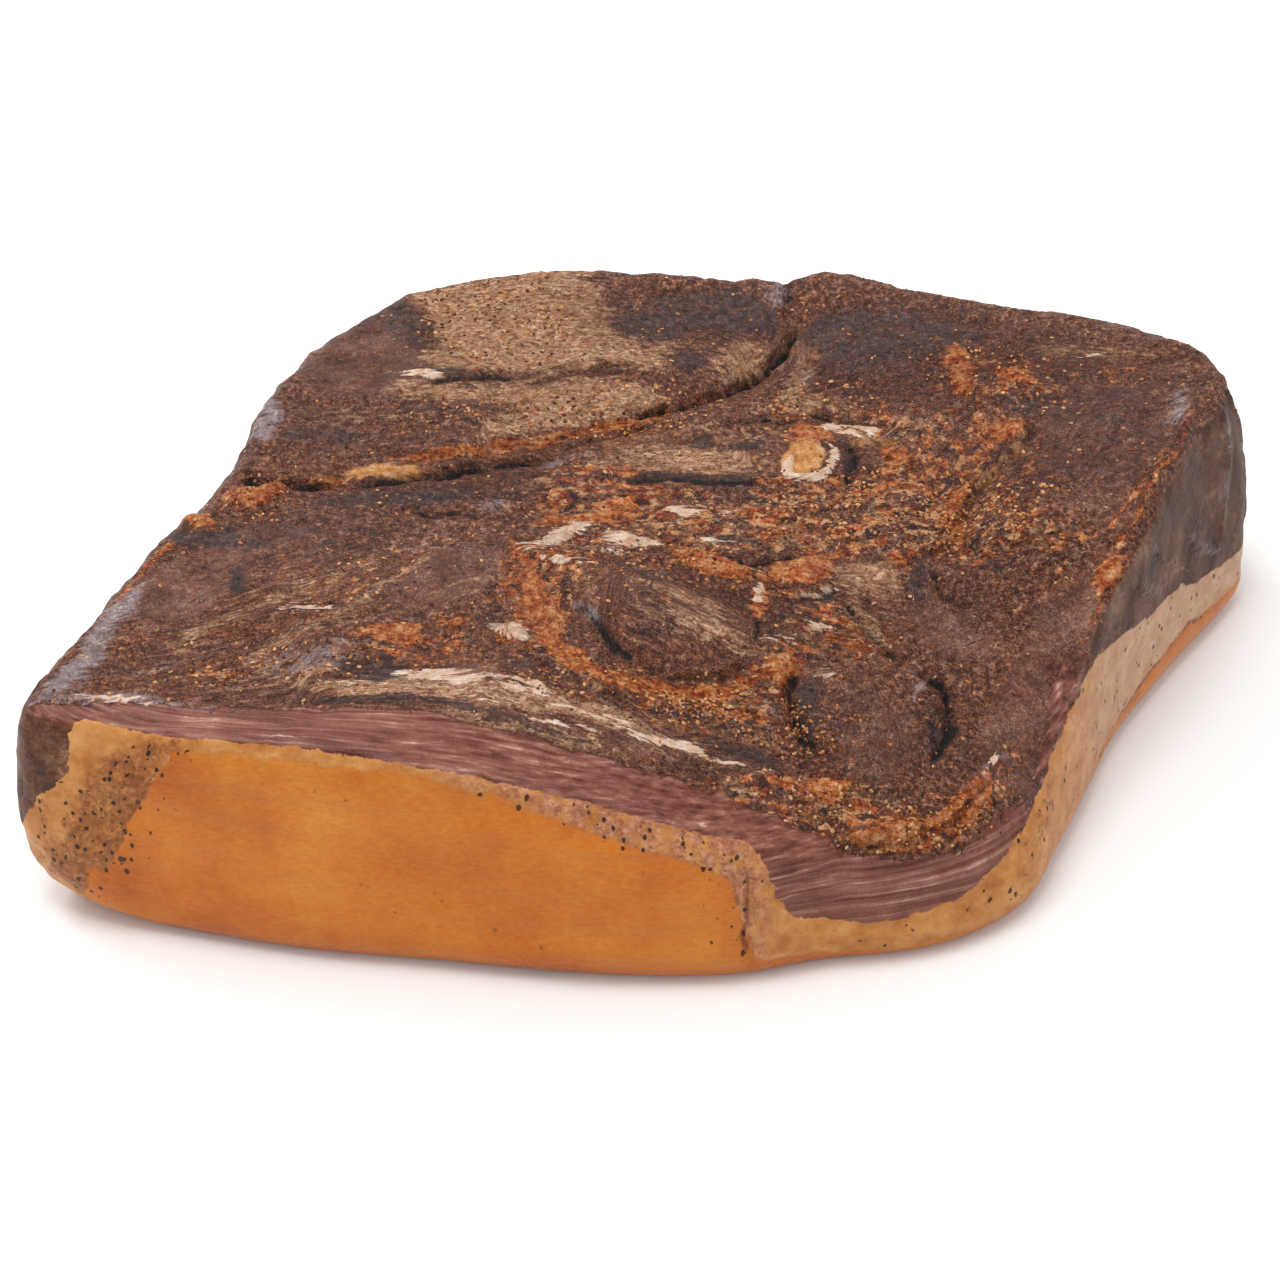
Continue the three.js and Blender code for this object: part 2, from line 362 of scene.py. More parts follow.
# %% The plan that the pens draw on, a little unsteady
TOP_SHAKE = 1.3  # mm
SIDE_SHAKE = 1.2  # mm
unsteady = np.stack([rough_noise(grain, (9.0, 5.0, 9.0), 3, 5),
                     rough_noise(grain, (9.0, 5.0, 9.0), 3, 8)], axis=1)
plan = point[:, :2] + TOP_SHAKE * unsteady
side_unsteady = np.stack([rough_noise(beside, 9.0, 3, 21), rough_noise(beside, 9.0, 3, 24)], axis=1)
side_plan = np.stack([walk, height], axis=1) + SIDE_SHAKE * side_unsteady
around = np.where(walk > whole_walk / 2, walk - whole_walk, walk)  # the walk, negative left of the tip
left_end = np.stack([around, side_plan[:, 1]], axis=1)
print("hand shake of the pens, mm:", round(float(TOP_SHAKE * unsteady.std()), 2))

# %% [markdown]
# ## Relief
# A pressed ham isn't a smooth pillow. The muscles part along dark seams, one bank of a seam
# often stands higher than the other, the bone left a knob of cartilage, and fat dries into
# lumps. These shapes show in outline and in shadow, so they are moved points and not just bump
# in the material. Each list below has one line for each thing that can be pointed at on a ham.

# %% Seams, creases and cracks on the cut top
# the last column, darkness, is how strongly painted shade darkens the groove in the material
SEAMS = [  # line on the plan, half width, depth, how far the bank on its left stands up, darkness
    ([(-147, 21), (-139, 14), (-130, 13), (-118, 15), (-108, 18)], 1.8, 3.6, 3.0, 0.95),
    ([(-112, 17), (-98, 17), (-86, 21), (-72, 26), (-58, 31), (-46, 34), (-37, 37)], 1.4, 2.6, 3.0, 0.95),
    ([(-100, 31), (-80, 33), (-66, 36), (-50, 42), (-38, 45), (-24, 51), (-8, 58)], 0.8, 0.8, 0.8, 0.6),
    ([(-36, 40), (-20, 47), (-8, 54), (2, 60)], 1.0, 1.4, 0.8, 0.7),
    ([(-12, 58), (2, 64), (10, 68), (22, 76)], 1.2, 2.2, 1.4, 0.9),
    ([(16, 73), (22, 76), (31, 82), (38, 89), (44, 98), (48, 108), (50, 121)], 1.3, 3.0, 1.6, 0.9),
    ([(50, 116), (47, 128), (46, 137), (45, 146)], 2.2, 2.0, 0.0, 0.7),
    ([(-86, 73), (-70, 75), (-58, 77), (-50, 73)], 1.0, 1.6, 1.2, 0.95),
    ([(-52, 75), (-43, 73), (-36, 78), (-22, 80), (-6, 79)], 0.7, 1.0, 0.8, 0.7),
    ([(-88, 2), (-78, 0), (-70, 1), (-60, -2)], 0.8, 1.2, 0.6, 0.8),
    ([(-14, 22), (0, 23), (14, 21), (26, 19), (38, 19)], 0.9, 0.8, 1.0, 0.9),
    ([(6, -16), (14, -18), (22, -21), (29, -24), (35, -23), (42, -20), (50, -18)], 1.0, 2.4, -1.4, 1.0),
    ([(126, 52), (130, 44), (128, 36), (122, 29), (114, 21), (108, 12), (104, 2), (102, -8)],
     1.0, 1.8, -1.5, 0.7),
    ([(100, -14), (112, -16), (126, -14), (142, -9), (156, -2)], 0.7, 0.9, 0.8, 0.5),
    ([(60, -36), (65, -43), (70, -51), (76, -59), (84, -63)], 1.0, 1.4, 1.0, 0.85),
    ([(66, -36), (73, -45), (78, -56)], 0.7, 0.8, 0.0, 0.6),
    ([(92, -20), (93, -28), (97, -35), (106, -40)], 0.9, 1.2, 0.8, 0.8),
    ([(44, -38), (52, -37), (61, -34)], 0.9, 1.2, 0.8, 0.8),
    ([(-30, -44), (-26, -49), (-21, -58), (-15, -68), (-7, -75)], 0.9, 1.2, 1.2, 0.95),
    ([(-10, -74), (4, -78), (18, -76), (28, -70)], 0.9, 1.2, 1.0, 0.7),
    ([(33, -48), (32, -55), (32, -62)], 1.0, 1.6, 0.6, 0.9),
    ([(-12, -27), (2, -33), (16, -38), (30, -42)], 1.0, 0.9, -0.6, 0.5),
    ([(47, -69), (43, -78), (43, -88), (47, -98), (54, -106)], 1.2, 2.4, 1.8, 1.0),
    ([(84, -62), (92, -68), (96, -76), (96, -86), (92, -95), (86, -102)], 1.2, 2.2, 2.2, 1.0),
    ([(56, -129), (65, -132), (76, -130), (86, -126), (95, -119), (103, -108), (112, -96)],
     1.2, 1.6, 1.2, 0.7),
    ([(-62, -34), (-56, -44), (-54, -56), (-58, -66)], 0.7, 0.8, 0.4, 0.6),
    ([(-142, -36), (-142, -43), (-140, -50)], 1.4, 1.4, 0.0, 0.7),
    ([(-160, -104), (-120, -101), (-85, -104), (-50, -112), (-20, -119), (12, -123), (40, -130)],
     0.8, 0.8, 0.5, 0.5),
    ([(62, -18), (76, -22), (88, -18), (98, -13)], 0.7, 0.9, 0.6, 0.6),
    ([(66, 44), (68, 34), (66, 24), (62, 16)], 1.2, 2.2, 0.8, 0.9),
    ([(50, 60), (62, 57), (74, 52), (84, 46)], 0.9, 1.2, 0.8, 0.8),
    ([(-100, 92), (-84, 96), (-70, 92)], 0.5, 0.5, 0.3, 0.4),
    ([(120, -30), (132, -44), (140, -62)], 0.6, 0.7, 0.5, 0.5),
    ([(-120, -38), (-104, -30), (-90, -16)], 0.6, 0.7, 0.5, 0.6),
    ([(20, 52), (34, 56), (50, 53)], 0.8, 1.0, 0.6, 0.8),
    ([(-66, 8), (-48, 10), (-30, 6)], 0.7, 0.8, 0.5, 0.7),
    ([(-10, 10), (10, 12), (32, 8)], 0.6, 0.7, 0.4, 0.6),
    ([(40, 4), (60, 2), (80, 4)], 0.6, 0.7, 0.4, 0.6),
    ([(-46, -84), (-30, -88), (-14, -94), (6, -98)], 0.8, 0.9, 0.5, 0.7),
]
NARROWEST_CUT = 1.8  # mm, the half width of the narrowest groove that the skin's faces can show
NARROWEST_DARK = 1.2  # mm, the same for the dark colour in a groove
BANK_WIDTH = 9.0  # mm over which a raised bank falls back to the muscle

relief = np.zeros(len(point))
seam_painted_shade = np.zeros(len(point))
for line, half_width, depth, bank, shade_strength in SEAMS:
    distance, share, side = near_line(plan, smooth_line(line))
    fade = soft_step(np.minimum(share, 1 - share), -0.02, 0.16) * on_top
    cut = np.exp(-((distance / max(half_width, NARROWEST_CUT)) ** 2))
    across = distance * side * np.sign(bank or 1.0)
    stand = soft_step(across, -1.0, 2.5) * np.exp(-((np.maximum(across, 0.0) / BANK_WIDTH) ** 2))
    relief += fade * (abs(bank) * stand - depth * cut)
    # painted shade that darkens each seam
    shade_falloff = np.clip(1.0 - distance / (3.0 * max(half_width, NARROWEST_DARK)), 0.0, 1.0)
    seam_painted_shade = np.maximum(seam_painted_shade, fade * shade_strength * shade_falloff)
print("seams:", len(SEAMS), " deepest point in mm:", round(float(relief.min()), 1))

# %% Lumps, knobs and hollows on the cut top
LUMPS = [  # middle on the plan, half length, half width, turn in degrees, rise
    ((52, 33), 10, 13, -8, 3.4), ((50, 29), 5, 7, -10, -2.6), ((52, 47), 10, 8, 0, 2.2),
    ((72, 47), 15, 7, -20, 2.4), ((84, 34), 5, 9, 20, 1.4), ((-142, 3), 10, 8, 10, 4.0),
    ((-133, 9), 5, 8, -20, 3.0), ((-158, -10), 7, 5, -40, 2.2), ((-96, 23), 13, 4, 6, 1.2),
    ((2, -55), 32, 20, -24, 1.4), ((18, -25), 19, 6, -22, 1.8), ((48, -26), 14, 8, 12, 1.8),
    ((-36, -52), 7, 12, 8, 1.4), ((-48, -64), 11, 6, -35, 2.0), ((-33, -10), 9, 4, 38, 1.6),
    ((-10, -13), 11, 4, -8, 1.6), ((70, -28), 11, 8, 10, 1.6), ((70, -48), 3, 12, 34, 0.9),
    ((40, -70), 9, 7, 40, 1.8), ((70, -92), 22, 26, -12, 1.0), ((91, -88), 4, 9, -14, -1.8),
    ((108, 73), 5, 11, 0, 1.4), ((128, 73), 11, 5, -35, 1.4), ((106, 87), 6, 4, 15, 1.2),
    ((124, 43), 7, 9, 0, 1.6), ((154, -27), 8, 6, 35, 1.8), ((78, -126), 22, 5, 8, 3.2),
    ((103, -107), 13, 5, 52, 2.8), ((54, -116), 9, 6, 10, 1.6), ((-96, -84), 13, 8, -6, -2.2),
    ((-38, -82), 12, 5, -18, -1.6), ((27, -108), 10, 4, -4, -1.4), ((-60, -88), 26, 8, -6, 1.4),
    ((-58, 4), 9, 6, 10, 1.8), ((12, 34), 28, 9, -4, 1.2), ((12, 42), 9, 5, 0, -0.8),
    ((30, 92), 15, 10, 36, 1.2), ((42, 128), 8, 10, 0, -1.6), ((-60, 55), 26, 7, 6, 1.4),
    ((-70, -28), 26, 16, 38, 1.2), ((-130, -60), 26, 6, 30, 1.4), ((-158, -40), 12, 18, -24, -1.2),
    ((160, 45), 20, 26, -20, 1.4), ((170, 82), 18, 10, -30, -1.0), ((110, -8), 9, 5, 10, 1.2),
    ((-110, 85), 16, 26, -28, -1.2), ((80, 95), 26, 22, -14, 1.2), ((-196, -97), 12, 6, 44, 1.6),
]

for middle, half_long, half_wide, turn, rise in LUMPS:
    inside = spot(plan, middle, half_long, half_wide, turn) / min(half_long, half_wide)
    relief += rise * soft_step(inside, -0.3, 1.0) * on_top
print("lumps:", len(LUMPS), " highest point in mm:", round(float(relief.max()), 1))

# %% [markdown]
# ## Which tissue is where
# The colour of a ham follows its tissues. Each tissue gets one map from 0 to 1, drawn with the
# pens and stored on the mesh as an attribute. A material can read an attribute by its name, so
# the drawing here decides where each tissue lies, and the material decides how it looks. The
# maps have soft edges on purpose: the material breaks them up with fine noise.

# %% A map for each tissue, and how a mark is laid on it
TISSUES = [
    "crust", "mottle", "orange", "yellow", "pale", "char_and_shade", "silverskin_and_sheen", "crest", "fat", "rind",
    "speck", "deep", "peach", "smoke", "fibrous", "smooth", "flank", "pink", "fold",
]
tissue = {name: np.zeros(len(point)) for name in TISSUES}


def lay(name, inside, soft=3.0, strength=1.0, where=None):
    """Add a mark to a tissue's map. inside is in mm, and soft is half the edge's width."""
    mark = np.clip(0.5 + inside / (2 * soft), 0.0, 1.0) * strength
    if where is not None:
        mark = mark * where
    tissue[name] = np.maximum(tissue[name], mark)


def lay_spots(name, spots, soft, where=None, sheet=plan):
    """Lay ovals on a tissue's map. Each has a middle, half length, half width, turn and strength."""
    for middle, half_long, half_wide, turn, strength in spots:
        lay(name, spot(sheet, middle, half_long, half_wide, turn), soft, strength, where)


def lay_strokes(name, strokes, soft, where=None):
    """Lay strokes on a tissue's map. Each has a line on the plan, half width and strength."""
    for line, half_width, strength in strokes:
        lay(name, stroke(plan, line, half_width), soft, strength, where)


print("tissues:", len(tissue))

# %% Spice crust, and the mottled middle where spice and fat are mixed
CRUST_AREAS = [  # outline on the plan, and strength
    ([(-92, 128), (-60, 142), (-26, 142), (-22, 125), (-18, 112), (-14, 101), (-4, 95), (4, 98),
      (8, 90), (0, 82), (-25, 82), (-60, 80), (-84, 82), (-80, 98), (-86, 112)], 1.0),
    ([(-100, 66), (-86, 72), (-60, 71), (-30, 74), (-4, 72), (-2, 64), (-20, 56), (-42, 48),
      (-62, 41), (-62, 50), (-50, 56), (-66, 61), (-84, 63)], 1.0),
]
CRUST_SPOTS = [  # middle, half length, half width, turn, strength
    ((29, 93), 13, 8, 36, 0.9), ((10, 33), 28, 7, -4, 1.0), ((20, 46), 22, 6, -4, 0.6),
    ((70, -27), 12, 7, 12, 0.95), ((12, -48), 20, 4, -24, 0.8), ((12, -60), 20, 5, -14, 0.75),
    ((0, 112), 34, 14, -10, 0.35), ((60, 64), 16, 6, -14, 0.6), ((88, 52), 14, 6, -20, 0.5),
    ((150, 88), 26, 7, -8, 0.55), ((-108, 50), 20, 6, 8, 0.4), ((25, -100), 12, 4, 0, 0.6),
    ((-120, -88), 22, 6, 2, 0.55), ((50, -74), 5, 8, 10, 0.6),
]
CRUST_STROKES = [  # line, half width, strength
    ([(62, -38), (69, -47), (76, -58)], 2.6, 1.0),
    ([(46, 60), (48, 74), (53, 90), (51, 106)], 4.5, 0.85),
    ([(-132, -90), (-112, -94), (-90, -96), (-60, -97), (-30, -99), (-6, -106), (10, -112)], 5.5, 0.9),
    ([(-80, -104), (-60, -108), (-30, -114), (-10, -119)], 3.0, 0.8),
    ([(-168, -78), (-150, -67), (-132, -55), (-116, -48), (-102, -38)], 2.2, 0.7),
    ([(-150, -60), (-130, -47), (-112, -38), (-96, -24), (-84, -14)], 1.8, 0.55),
    ([(-70, -50), (-62, -40), (-54, -34)], 1.6, 0.5),
    ([(-172, -92), (-158, -76), (-142, -62), (-124, -48), (-106, -36), (-84, -18)], 1.7, 0.75),
    ([(-150, -94), (-136, -82), (-122, -70), (-106, -56), (-90, -38), (-74, -22)], 2.0, 0.8),
    ([(-134, -90), (-122, -80), (-108, -72)], 1.4, 0.8),
    ([(-112, -64), (-98, -58), (-84, -56)], 1.3, 0.6),
    ([(-84, -26), (-74, -18), (-62, -12)], 1.2, 0.5),
    ([(-78, -46), (-66, -38), (-56, -36)], 1.1, 0.6),
    ([(44, 98), (48, 108), (49, 120)], 2.4, 0.7),
    ([(130, 40), (124, 32), (116, 24), (109, 14)], 1.8, 0.95),
    ([(38, 86), (46, 96), (50, 104)], 2.0, 0.8),
    ([(30, 60), (44, 64), (58, 60)], 2.0, 0.7),
]
MOTTLED = [  # outline on the plan, and strength
    ([(-46, 26), (-20, 36), (10, 26), (40, 20), (64, 24), (88, 26), (104, 12), (102, -12), (84, -20),
      (60, -20), (40, -16), (10, -16), (-16, -6), (-40, 4)], 0.95),
    ([(-44, -72), (-20, -82), (14, -80), (34, -66), (46, -60), (44, -80), (42, -102), (20, -104),
      (-6, -102), (-28, -92)], 0.95),
    ([(-30, 48), (0, 52), (36, 56), (60, 66), (90, 60), (104, 40), (86, 26), (60, 60), (30, 44),
      (0, 42)], 0.6),
    ([(-140, -92), (-118, -82), (-100, -70), (-78, -60), (-62, -66), (-74, -76), (-104, -90)], 0.75),
    ([(86, 60), (110, 56), (134, 48), (130, 20), (124, 2), (146, -4), (152, -18), (122, -24), (96, -18),
      (100, 10), (84, 26)], 0.62),
    ([(94, 98), (112, 94), (142, 78), (136, 64), (104, 62), (96, 76)], 0.62),
    ([(128, 94), (160, 88), (178, 72), (160, 70), (140, 80)], 0.5),
    ([(0, -122), (30, -116), (52, -108), (90, -122), (110, -100), (116, -92), (98, -128), (60, -136),
      (30, -132)], 0.9),
    ([(-60, -52), (-46, -12), (-36, 0), (-18, 6), (-22, -24), (-28, -44), (-28, -70), (-44, -76)], 0.7),
    ([(34, -36), (60, -36), (80, -58), (66, -66), (44, -62)], 0.75),
]

for outline, strength in CRUST_AREAS:
    lay("crust", area(plan, outline), 5.0, strength, on_top)
lay_spots("crust", CRUST_SPOTS, 4.0, on_top)
lay_strokes("crust", CRUST_STROKES, 2.5, on_top)
for outline, strength in MOTTLED:
    lay("mottle", area(plan, outline), 8.0, strength, on_top)
print("share of the top with crust:", round(float(tissue["crust"][on_top > 0.5].mean()), 2))

# %% Smoked fat, which is orange
ORANGE_SPOTS = [  # middle, half length, half width, turn, strength
    ((-142, 4), 9, 7, 10, 0.9), ((-133, 9), 4, 7, -20, 1.0), ((-157, -10), 7, 5, -40, 0.9),
    ((-36, -51), 6, 11, 8, 1.0), ((18, -25), 18, 5, -22, 1.0), ((48, -26), 13, 7, 12, 0.9),
    ((33, -41), 3, 9, 0, 0.9), ((41, -70), 8, 6, 40, 0.9), ((108, 73), 5, 10, 0, 0.9),
    ((127, 73), 10, 4.5, -35, 1.0), ((105, 87), 6, 4, 15, 1.0), ((123, 43), 6, 8, 0, 0.9),
    ((152, -27), 8, 4, 50, 1.0), ((54, -116), 8, 5, 10, 0.9), ((-88, -67), 15, 6, 2, 0.8),
    ((-70, -60), 9, 6, 30, 0.55), ((-140, -88), 18, 3, 6, 0.6), ((-102, -46), 5, 12, -10, 0.45),
    ((52, 46), 9, 8, 0, 1.0),
    ((82, 33), 5, 8, 20, 0.7), ((-50, -64), 8, 5, -35, 0.8), ((-15, 4), 12, 5, -6, 0.6),
    ((60, -52), 10, 5, 10, 0.5), ((-30, 2), 14, 5, 4, 0.55),
]
ORANGE_STROKES = [  # line, half width, strength
    ([(-124, 16), (-112, 19), (-104, 22)], 2.2, 0.9),
    ([(-100, 31), (-82, 33), (-66, 37), (-50, 42), (-38, 46), (-22, 52), (-6, 59), (8, 67),
      (20, 75)], 2.2, 0.95),
    ([(-52, -10), (-47, -24), (-43, -40), (-40, -54), (-36, -68), (-24, -80), (-6, -85), (14, -84),
      (28, -77), (38, -68)], 5.0, 0.9),
    ([(-48, -6), (-36, -2), (-24, -1), (-10, -5)], 3.0, 0.8),
    ([(106, 20), (102, 8), (101, -4), (104, -14)], 3.2, 0.9),
    ([(106, -16), (118, -20), (132, -18), (146, -12)], 1.4, 0.7),
    ([(56, -127), (66, -130), (78, -127), (88, -123), (98, -114), (106, -103), (113, -93)], 4.2, 1.0),
    ([(-70, -76), (-90, -70), (-112, -66), (-130, -70)], 1.6, 0.5),
    ([(-168, -76), (-150, -66), (-130, -52), (-110, -42), (-96, -32)], 1.4, 0.7),
    ([(150, -14), (162, 2), (170, 16), (177, 32)], 1.1, 0.75),
    ([(-160, -16), (-172, -36), (-182, -56)], 1.6, 0.7),
    ([(-10, -46), (10, -54), (26, -60)], 1.4, 0.6),
    ([(110, 100), (108, 88), (108, 78)], 2.4, 0.5),
]
lay_spots("orange", ORANGE_SPOTS, 2.2, on_top)
lay_strokes("orange", ORANGE_STROKES, 2.0, on_top)
print("marks of smoked fat:", len(ORANGE_SPOTS) + len(ORANGE_STROKES))

# %% Yellow fat in the seams, white fat, and the pale rim of the cartilage
YELLOW_SPOTS = [
    ((-96, 24), 13, 4.6, 6, 1.0), ((50, 32), 8, 11, -8, 0.8), ((-36, -54), 4, 7, 8, 0.5),
    ((126, 32), 6, 4, 60, 0.5), ((40, -27), 6, 4, 10, 0.5), ((-88, 29), 10, 2.0, 10, 0.5),
    ((74, 42), 13, 5, -24, 0.45), ((116, 24), 9, 1.4, 48, 0.7),
]
PALE_SPOTS = [
    ((-10, -13), 10, 3.2, -8, 1.0), ((-33, -10), 10, 3.0, 40, 1.0), ((-33, -24), 9, 1.6, -4, 0.8),
    ((-19, -18), 8, 1.6, -6, 0.6), ((-50, -63), 9, 4.0, -35, 0.85), ((8, 4), 8, 2.6, -6, 0.7),
    ((-72, -89), 15, 3.6, -4, 0.7), ((-46, -92), 14, 3.5, -12, 0.6), ((4, -111), 12, 2.0, -8, 1.0),
    ((26, -114), 10, 0.9, 2, 1.0), ((155, 86), 6, 1.4, 20, 0.8), ((33, -38), 1.4, 4, 0, 0.9),
    ((52, -50), 5, 2, -8, 0.8), ((68, 49), 13, 3.4, -22, 0.62), ((-84, 76), 12, 1.6, -6, 0.7),
    ((46, 29), 1.8, 6, -16, 1.0), ((55, -35), 6, 1.0, 14, 0.9), ((-118, -56), 8, 1.6, 12, 0.6),
    ((22, 4), 5, 1.6, 0, 0.5), ((-44, -16), 6, 2.5, 20, 0.6), ((54, -72), 4, 3, 20, 0.5),
    ((110, -92), 3, 1.6, 40, 0.6), ((-178, -102), 12, 1.5, -12, 0.8),
    ((-20, -103), 14, 1.4, -16, 0.8), ((-58, -99), 12, 1.3, -6, 0.8), ((-34, -108), 16, 1.0, -12, 0.6),
    ((-106, -92), 8, 1.4, 4, 0.6), ((40, -58), 6, 2.2, -20, 0.5), ((20, -12), 6, 1.4, -8, 0.6),
]

CARTILAGE_RIM = [(43, 34), (44, 26), (49, 21), (56, 22), (60, 28), (61, 38), (57, 43)]
lay_spots("yellow", YELLOW_SPOTS, 1.6, on_top)
lay_spots("pale", PALE_SPOTS, 1.2, on_top)
cartilage_rim = stroke(plan, CARTILAGE_RIM, 1.5)
lay("pale", cartilage_rim, 1.0, 1.0, on_top)
relief += 1.0 * np.clip(1.0 + cartilage_rim / 2.0, 0.0, 1.0)
print("marks of yellow and white fat:", len(YELLOW_SPOTS) + len(PALE_SPOTS))

# %% Places smoked black, with painted shade in hollows and seams, and silverskin with painted sheen
# black smoke and painted shade: many of these marks lie in hollows and seams and darken them as their
# shadow would
CHAR_AND_SHADE_SPOTS = [
    ((-96, -84), 12, 7, -6, 1.0), ((-40, -82), 12, 4, -16, 0.7), ((27, -108), 10, 3, -3, 1.0),
    ((-72, 56), 15, 3, 4, 0.75), ((-72, 78), 9, 2.2, -4, 0.7), ((15, 43), 6, 5, 0, 0.8),
    ((30, 41), 8, 3.5, 0, 0.6), ((20, -42), 15, 4, -24, 0.3), ((-4, -32), 10, 3, -24, 0.7),
    ((-91, 108), 9, 16, 24, 0.6), ((-4, 108), 14, 10, -10, 0.75), ((22, 118), 26, 12, -8, 0.7),
    ((8, 89), 9, 6, 10, 0.75), ((-152, -21), 18, 5, -4, 0.9), ((-142, -43), 3, 8, 6, 0.9),
    ((48, -86), 5, 16, -6, 0.7), ((91, -88), 4, 10, -14, 0.8), ((-90, 8), 34, 5, 8, 0.7),
    ((-50, 30), 14, 3, 18, 0.8), ((80, 100), 30, 18, -14, 0.55), ((130, 58), 12, 6, -10, 0.6),
    ((-120, -20), 22, 12, 30, 0.35), ((-30, -62), 2, 6, 20, 0.5), ((28, -11), 18, 3, -14, 0.6),
    ((88, -28), 5, 9, -8, 0.7), ((52, -39), 8, 2.4, 14, 0.9), ((-58, 110), 8, 2, 4, 0.3),
    ((-115, 40), 24, 5, 8, 0.5), ((66, 31), 3, 9, 10, 0.8), ((110, 36), 5, 3, 50, 0.8),
    ((118, -20), 12, 5, 10, 0.5), ((-28, 136), 10, 4, 0, 0.5),
]
CHAR_AND_SHADE_STROKES = [
    ([(-13, 23), (0, 25), (14, 23), (36, 20)], 2.2, 1.0),
    ([(-29, -44), (-25, -50), (-20, -58)], 1.2, 0.8),
    ([(-128, -103), (-100, -101), (-70, -104), (-40, -111), (-16, -117)], 2.4, 0.7),
]
# silverskin with a painted sheen: its rims and streaks are laid where they catch the light
SILVERSKIN_AND_SHEEN_SPOTS = [
    ((-116, -80), 22, 7, 24, 0.42), ((-34, 34), 10, 3, 18, 0.5), ((-2, -30), 8, 2, -24, 0.4),
    ((-58, 4), 6, 4, 10, 0.5), ((42, 130), 6, 9, 0, 0.5), ((52, 84), 2.5, 9, 8, 0.5),
    ((182, 50), 4, 12, -14, 0.6), ((85, -71), 2, 4, -20, 0.8), ((-72, -91), 10, 1.8, -4, 0.5),
    ((108, -98), 3, 14, -40, 0.35), ((-168, -86), 12, 2, 24, 0.4),
]
SILVERSKIN_AND_SHEEN_STROKES = [
    ([(-206, -106), (-198, -98), (-190, -86), (-186, -74), (-180, -60), (-170, -44)], 3.6, 0.9),
    ([(-204, -103), (-186, -101), (-172, -103), (-150, -106), (-124, -108)], 2.2, 0.9),
    ([(-137, 60), (-137, 48), (-139, 34)], 3.4, 1.0),
    ([(-128, 96), (-116, 110), (-102, 122), (-88, 132)], 1.4, 0.6),
    ([(-28, -45), (-25, -50), (-21, -57)], 0.8, 1.0),
]

lay_spots("char_and_shade", CHAR_AND_SHADE_SPOTS, 2.6, on_top)
lay_strokes("char_and_shade", CHAR_AND_SHADE_STROKES, 1.4, on_top)
lay_spots("silverskin_and_sheen", SILVERSKIN_AND_SHEEN_SPOTS, 3.0)
lay_strokes("silverskin_and_sheen", SILVERSKIN_AND_SHEEN_STROKES, 3.0)
print("marks of black smoke:", len(CHAR_AND_SHADE_SPOTS) + len(CHAR_AND_SHADE_STROKES))
print("marks of silverskin:", len(SILVERSKIN_AND_SHEEN_SPOTS) + len(SILVERSKIN_AND_SHEEN_STROKES))

# %% The striped band along the front crest, which turns the corner on the right
FRONT_CREST = [
    (-186, -106), (-160, -108), (-130, -110), (-100, -114), (-70, -119), (-40, -125), (-10, -131),
    (20, -135), (48, -138), (70, -141), (92, -137), (110, -124), (122, -107), (130, -88),
]
CREST_WIDTHS = [  # share of the way along the crest, and mm that the band reaches on to the top
    (0.0, 2.0), (0.1, 4.0), (0.3, 9.0), (0.6, 8.0), (0.75, 5.0), (0.9, 7.0), (1.0, 4.0),
]
RIGHT_BANK = [(126, -98), (132, -80), (135, -64), (138, -50)]
WELL_INSIDE = 5.0  # mm, deep enough to lie wholly in the band
distance, share, side = near_line(plan, smooth_line(FRONT_CREST))
crest_width = np.interp(share, *zip(*CREST_WIDTHS))
crest_reach = np.where((side < 0) & (distance < PEN_REACH), WELL_INSIDE, crest_width - distance)
lay("crest", crest_reach, 2.5, 1.0, 1.0 - soft_step(share, 0.9, 1.0))
lay("crest", stroke(plan, RIGHT_BANK, 6.0), 4.0, 0.75)
print("points on the crest:", int((tissue["crest"] > 0.5).sum()))

# %% Darker lean, smooth lean, and places where fibres show
SMOKE = [  # where the lean is darker all over: middle, half length, half width, turn, strength
    ((84, 92), 44, 30, -14, 0.95), ((140, 82), 44, 16, -22, 0.75), ((150, 40), 26, 34, -20, 0.65),
    ((12, 110), 42, 16, -8, 0.75), ((-92, 106), 11, 22, 24, 0.6), ((-150, -22), 24, 9, -4, 0.5),
    ((-72, 16), 50, 9, 14, 0.7), ((-118, 44), 26, 12, 8, 0.4), ((-112, 80), 16, 34, -28, 0.35),
    ((104, -34), 14, 12, -10, 0.35), ((20, -40), 18, 5, -24, 1.0), ((-8, -58), 12, 14, -24, 0.4),
    ((120, 26), 20, 20, 30, 0.5), ((86, 20), 22, 14, 0, 0.35), ((-64, 60), 24, 5, 4, 0.4),
    ((-50, -50), 12, 20, 0, 0.25), ((14, -98), 40, 9, -6, 0.3), ((58, -92), 10, 20, -12, 0.3),
    ((30, 40), 14, 8, -10, 0.5), ((66, 30), 8, 12, 0, 0.6), ((84, -126), 22, 8, 12, 0.3),
    ((-110, -60), 30, 5, 34, 0.25), ((-160, 0), 14, 16, 30, 0.3), ((46, -86), 6, 18, -6, 0.8),
    ((90, -84), 7, 16, -14, 0.7), ((66, -92), 14, 18, -8, 0.35), ((-136, -16), 24, 8, 6, 0.6),
    ((100, -72), 4, 16, -20, 0.4), ((-44, -24), 5, 18, 0, 0.4), ((60, 20), 30, 4, 0, 0.4),
]
